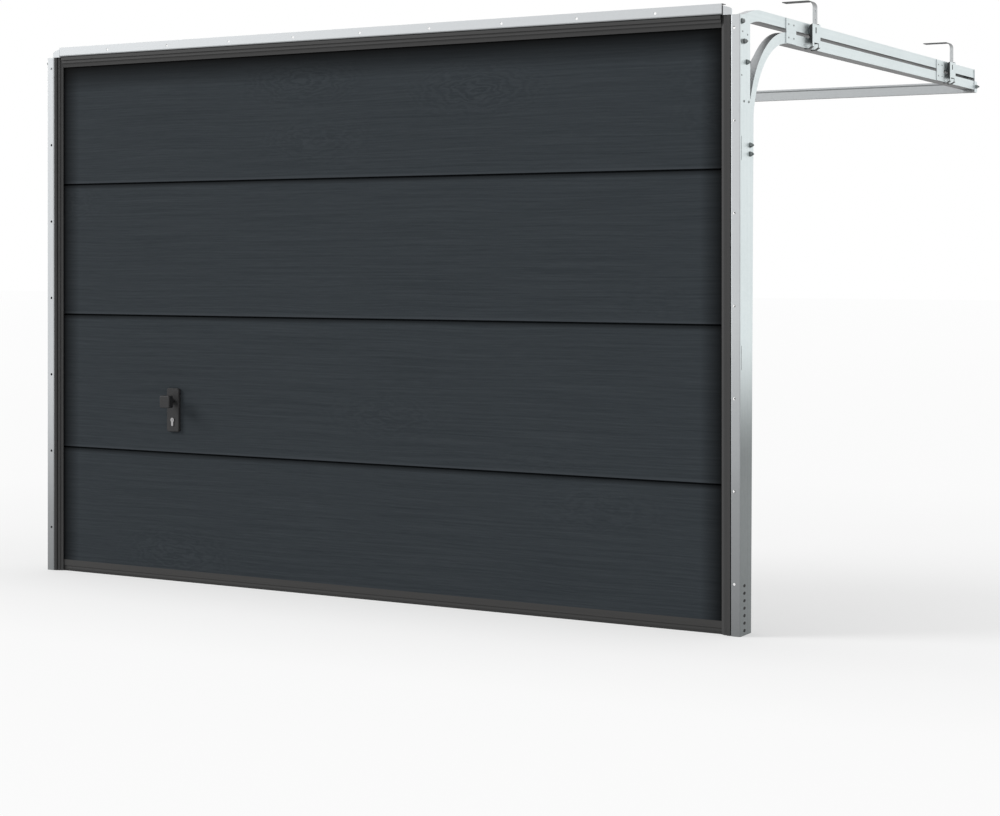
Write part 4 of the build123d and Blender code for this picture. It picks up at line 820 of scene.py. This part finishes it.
def springs():
    """Close-wound tension springs with their hooks and anchor pins."""
    mesh = bmesh.new()
    low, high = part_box("tension_springs")
    centre_y = (high.y + low.y) / 2
    coil_radius = (high.y - low.y) / 2 - WIRE_RADIUS
    pin_z = low.z + PIN_RISE
    turns = int((high.z - WIRE_RADIUS * 2 - COIL_FOOT) / COIL_PITCH)
    for side in (1, -1):
        axis_x = side * SPRING_AXIS
        coil = []
        for step in range(turns * COIL_STEPS + 1):
            angle = 2 * math.pi * step / COIL_STEPS
            z = COIL_FOOT + WIRE_RADIUS + COIL_PITCH * step / COIL_STEPS
            offset = Vector((coil_radius * math.cos(angle), coil_radius * math.sin(angle), 0))
            coil.append(Vector((axis_x, centre_y, z)) + offset)
        tube(mesh, coil, WIRE_RADIUS, WIRE_SIDES)
        hook = [Vector((axis_x + coil_radius * out, centre_y, COIL_FOOT + up))
                for out, up in HOOK_BENDS]
        hook.append(Vector((axis_x, centre_y, pin_z)))
        tube(mesh, hook, WIRE_RADIUS * HOOK_SHARE, WIRE_SIDES)
        pin = [Vector((axis_x - side * PIN_INNER, centre_y, pin_z)),
               Vector((side * PIN_OUTER, centre_y, pin_z))]
        tube(mesh, pin, PIN_RADIUS, PIN_SIDES)
    item = piece("spring_coils", mesh, "spring", crease=COIL_CREASE)
    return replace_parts(item, "tension_springs")


def add_pieces():
    for side in (1, -1):
        post_fasteners(side)
        post_rivets(side)
        anchor_hole_shade(side)
        splice_bolts(side)
        carrier_screws(side)
    end_bolts()
    hinge_screws()
    cap_rivets()
    case_screws()
    springs()


def set_camera():
    """The photograph's view: level, and shifted down to take in the whole door."""
    data = bpy.data.cameras.new("camera")
    data.lens = LENS
    data.sensor_width = SENSOR
    data.shift_y = SHIFT_DOWN
    data.clip_end = SIGHT
    camera = bpy.data.objects.new("camera", data)
    camera.location = CAMERA
    camera.rotation_euler = (math.pi / 2, 0, TURN)
    bpy.context.scene.collection.objects.link(camera)
    bpy.context.scene.camera = camera


def calculate(tree, operation, first, second):
    """A Math node in a tree. Either value may be a number."""
    node = tree.nodes.new("ShaderNodeMath")
    node.operation = operation
    for value, socket in zip((first, second), node.inputs):
        if isinstance(value, bpy.types.NodeSocket):
            tree.links.new(value, socket)
        else:
            socket.default_value = value
    return node.outputs["Value"]


def mix_shaders(tree, share, first, second, target):
    mix = tree.nodes.new("ShaderNodeMixShader")
    tree.links.new(share, mix.inputs["Fac"])
    tree.links.new(first, mix.inputs[1])
    tree.links.new(second, mix.inputs[2])
    tree.links.new(mix.outputs["Shader"], target)


def seen_rays(tree):
    """1 for rays that show the background: from the camera, or by way of metal and glass."""
    path = tree.nodes.new("ShaderNodeLightPath")
    total = path.outputs["Is Camera Ray"]
    for name in ("Is Glossy Ray", "Is Transmission Ray"):
        total = calculate(tree, "MAXIMUM", total, path.outputs[name])
    return total


def set_world(level):
    """White where it is seen, and a plain even light elsewhere."""
    world = bpy.data.worlds.new("studio")
    world.use_nodes = True
    tree = world.node_tree
    light = tree.nodes["Background"]
    white = tree.nodes.new("ShaderNodeBackground")
    for node, strength in ((light, level), (white, 1.0)):
        node.inputs["Color"].default_value = (1, 1, 1, 1)
        node.inputs["Strength"].default_value = strength
    mix_shaders(tree, seen_rays(tree), light.outputs["Background"], white.outputs["Background"],
                tree.nodes["World Output"].inputs["Surface"])
    bpy.context.scene.world = world


def distance_from_door(tree, place):
    """How far a floor point is from the door's foot, as a share of FLOOR_REACH.

    It counts less to the sides and behind, where the door's shadow lies."""
    axes = tree.nodes.new("ShaderNodeSeparateXYZ")
    tree.links.new(place, axes.inputs["Vector"])
    x, y = axes.outputs["X"], axes.outputs["Y"]
    beside = calculate(tree, "SUBTRACT", calculate(tree, "ABSOLUTE", x, 0.0), POST_SIDE)
    beside = calculate(tree, "MULTIPLY", calculate(tree, "MAXIMUM", beside, 0.0), BESIDE_SHARE)
    in_front = calculate(tree, "MULTIPLY", y, -1.0)
    behind = calculate(tree, "MULTIPLY", y, BEHIND_SHARE)
    across = calculate(tree, "MAXIMUM", in_front, behind)
    squares = calculate(tree, "ADD", calculate(tree, "MULTIPLY", beside, beside),
                        calculate(tree, "MULTIPLY", across, across))
    return calculate(tree, "DIVIDE", calculate(tree, "SQRT", squares, 0.0), FLOOR_REACH)


def floor_finish():
    """Matt and pale. Where it is seen, its shadow is lightened, and it turns white far away."""
    material = bpy.data.materials.new("floor")
    material.use_nodes = True
    tree = material.node_tree
    tree.nodes.remove(tree.nodes["Principled BSDF"])
    plain = tree.nodes.new("ShaderNodeBsdfDiffuse")
    plain.inputs["Color"].default_value = FLOOR_COLOR
    white = tree.nodes.new("ShaderNodeEmission")
    white.inputs["Color"].default_value = FLOOR_WHITE
    place = tree.nodes.new("ShaderNodeTexCoord").outputs["Object"]
    away = tree.nodes.new("ShaderNodeValToRGB")
    tree.links.new(distance_from_door(tree, place), away.inputs["Fac"])
    ramp = away.color_ramp
    for element, level in zip(ramp.elements, (FLOOR_LEVEL_AT_DOOR, 1)):
        element.color = (level, level, level, 1)
    for metres, level in FLOOR_LEVELS:
        ramp.elements.new(metres / FLOOR_REACH).color = (level, level, level, 1)
    share = calculate(tree, "MULTIPLY", away.outputs["Color"], seen_rays(tree))
    mix_shaders(tree, share, plain.outputs["BSDF"], white.outputs["Emission"],
                tree.nodes["Material Output"].inputs["Surface"])
    return material


def add_floor():
    mesh = bmesh.new()
    low, high = -FLOOR_HALF, FLOOR_HALF
    corners = ((low, low), (high, low), (high, high), (low, high))
    mesh.faces.new([mesh.verts.new((x, y, FLOOR)) for x, y in corners])
    data = bpy.data.meshes.new("floor")
    mesh.to_mesh(data)
    mesh.free()
    data.materials.append(floor_finish())
    floor = bpy.data.objects.new("floor", data)
    bpy.context.scene.collection.objects.link(floor)


def light_studio():
    """An even white room, and one broad soft light from the front left."""
    set_world(ROOM_LEVEL)
    data = bpy.data.lights.new("key", "SUN")
    data.energy = SUN_LEVEL
    data.angle = SUN_ANGLE
    lamp = bpy.data.objects.new("key", data)
    x, y = (part * math.cos(SUN_HEIGHT) for part in SUN_SIDE)
    toward = Vector((x, y, math.sin(SUN_HEIGHT)))
    lamp.rotation_euler = toward.to_track_quat("Z", "Y").to_euler()
    bpy.context.scene.collection.objects.link(lamp)


dress_nodes()
add_pieces()
set_camera()
add_floor()
light_studio()
bpy.context.scene.view_settings.view_transform = "Standard"
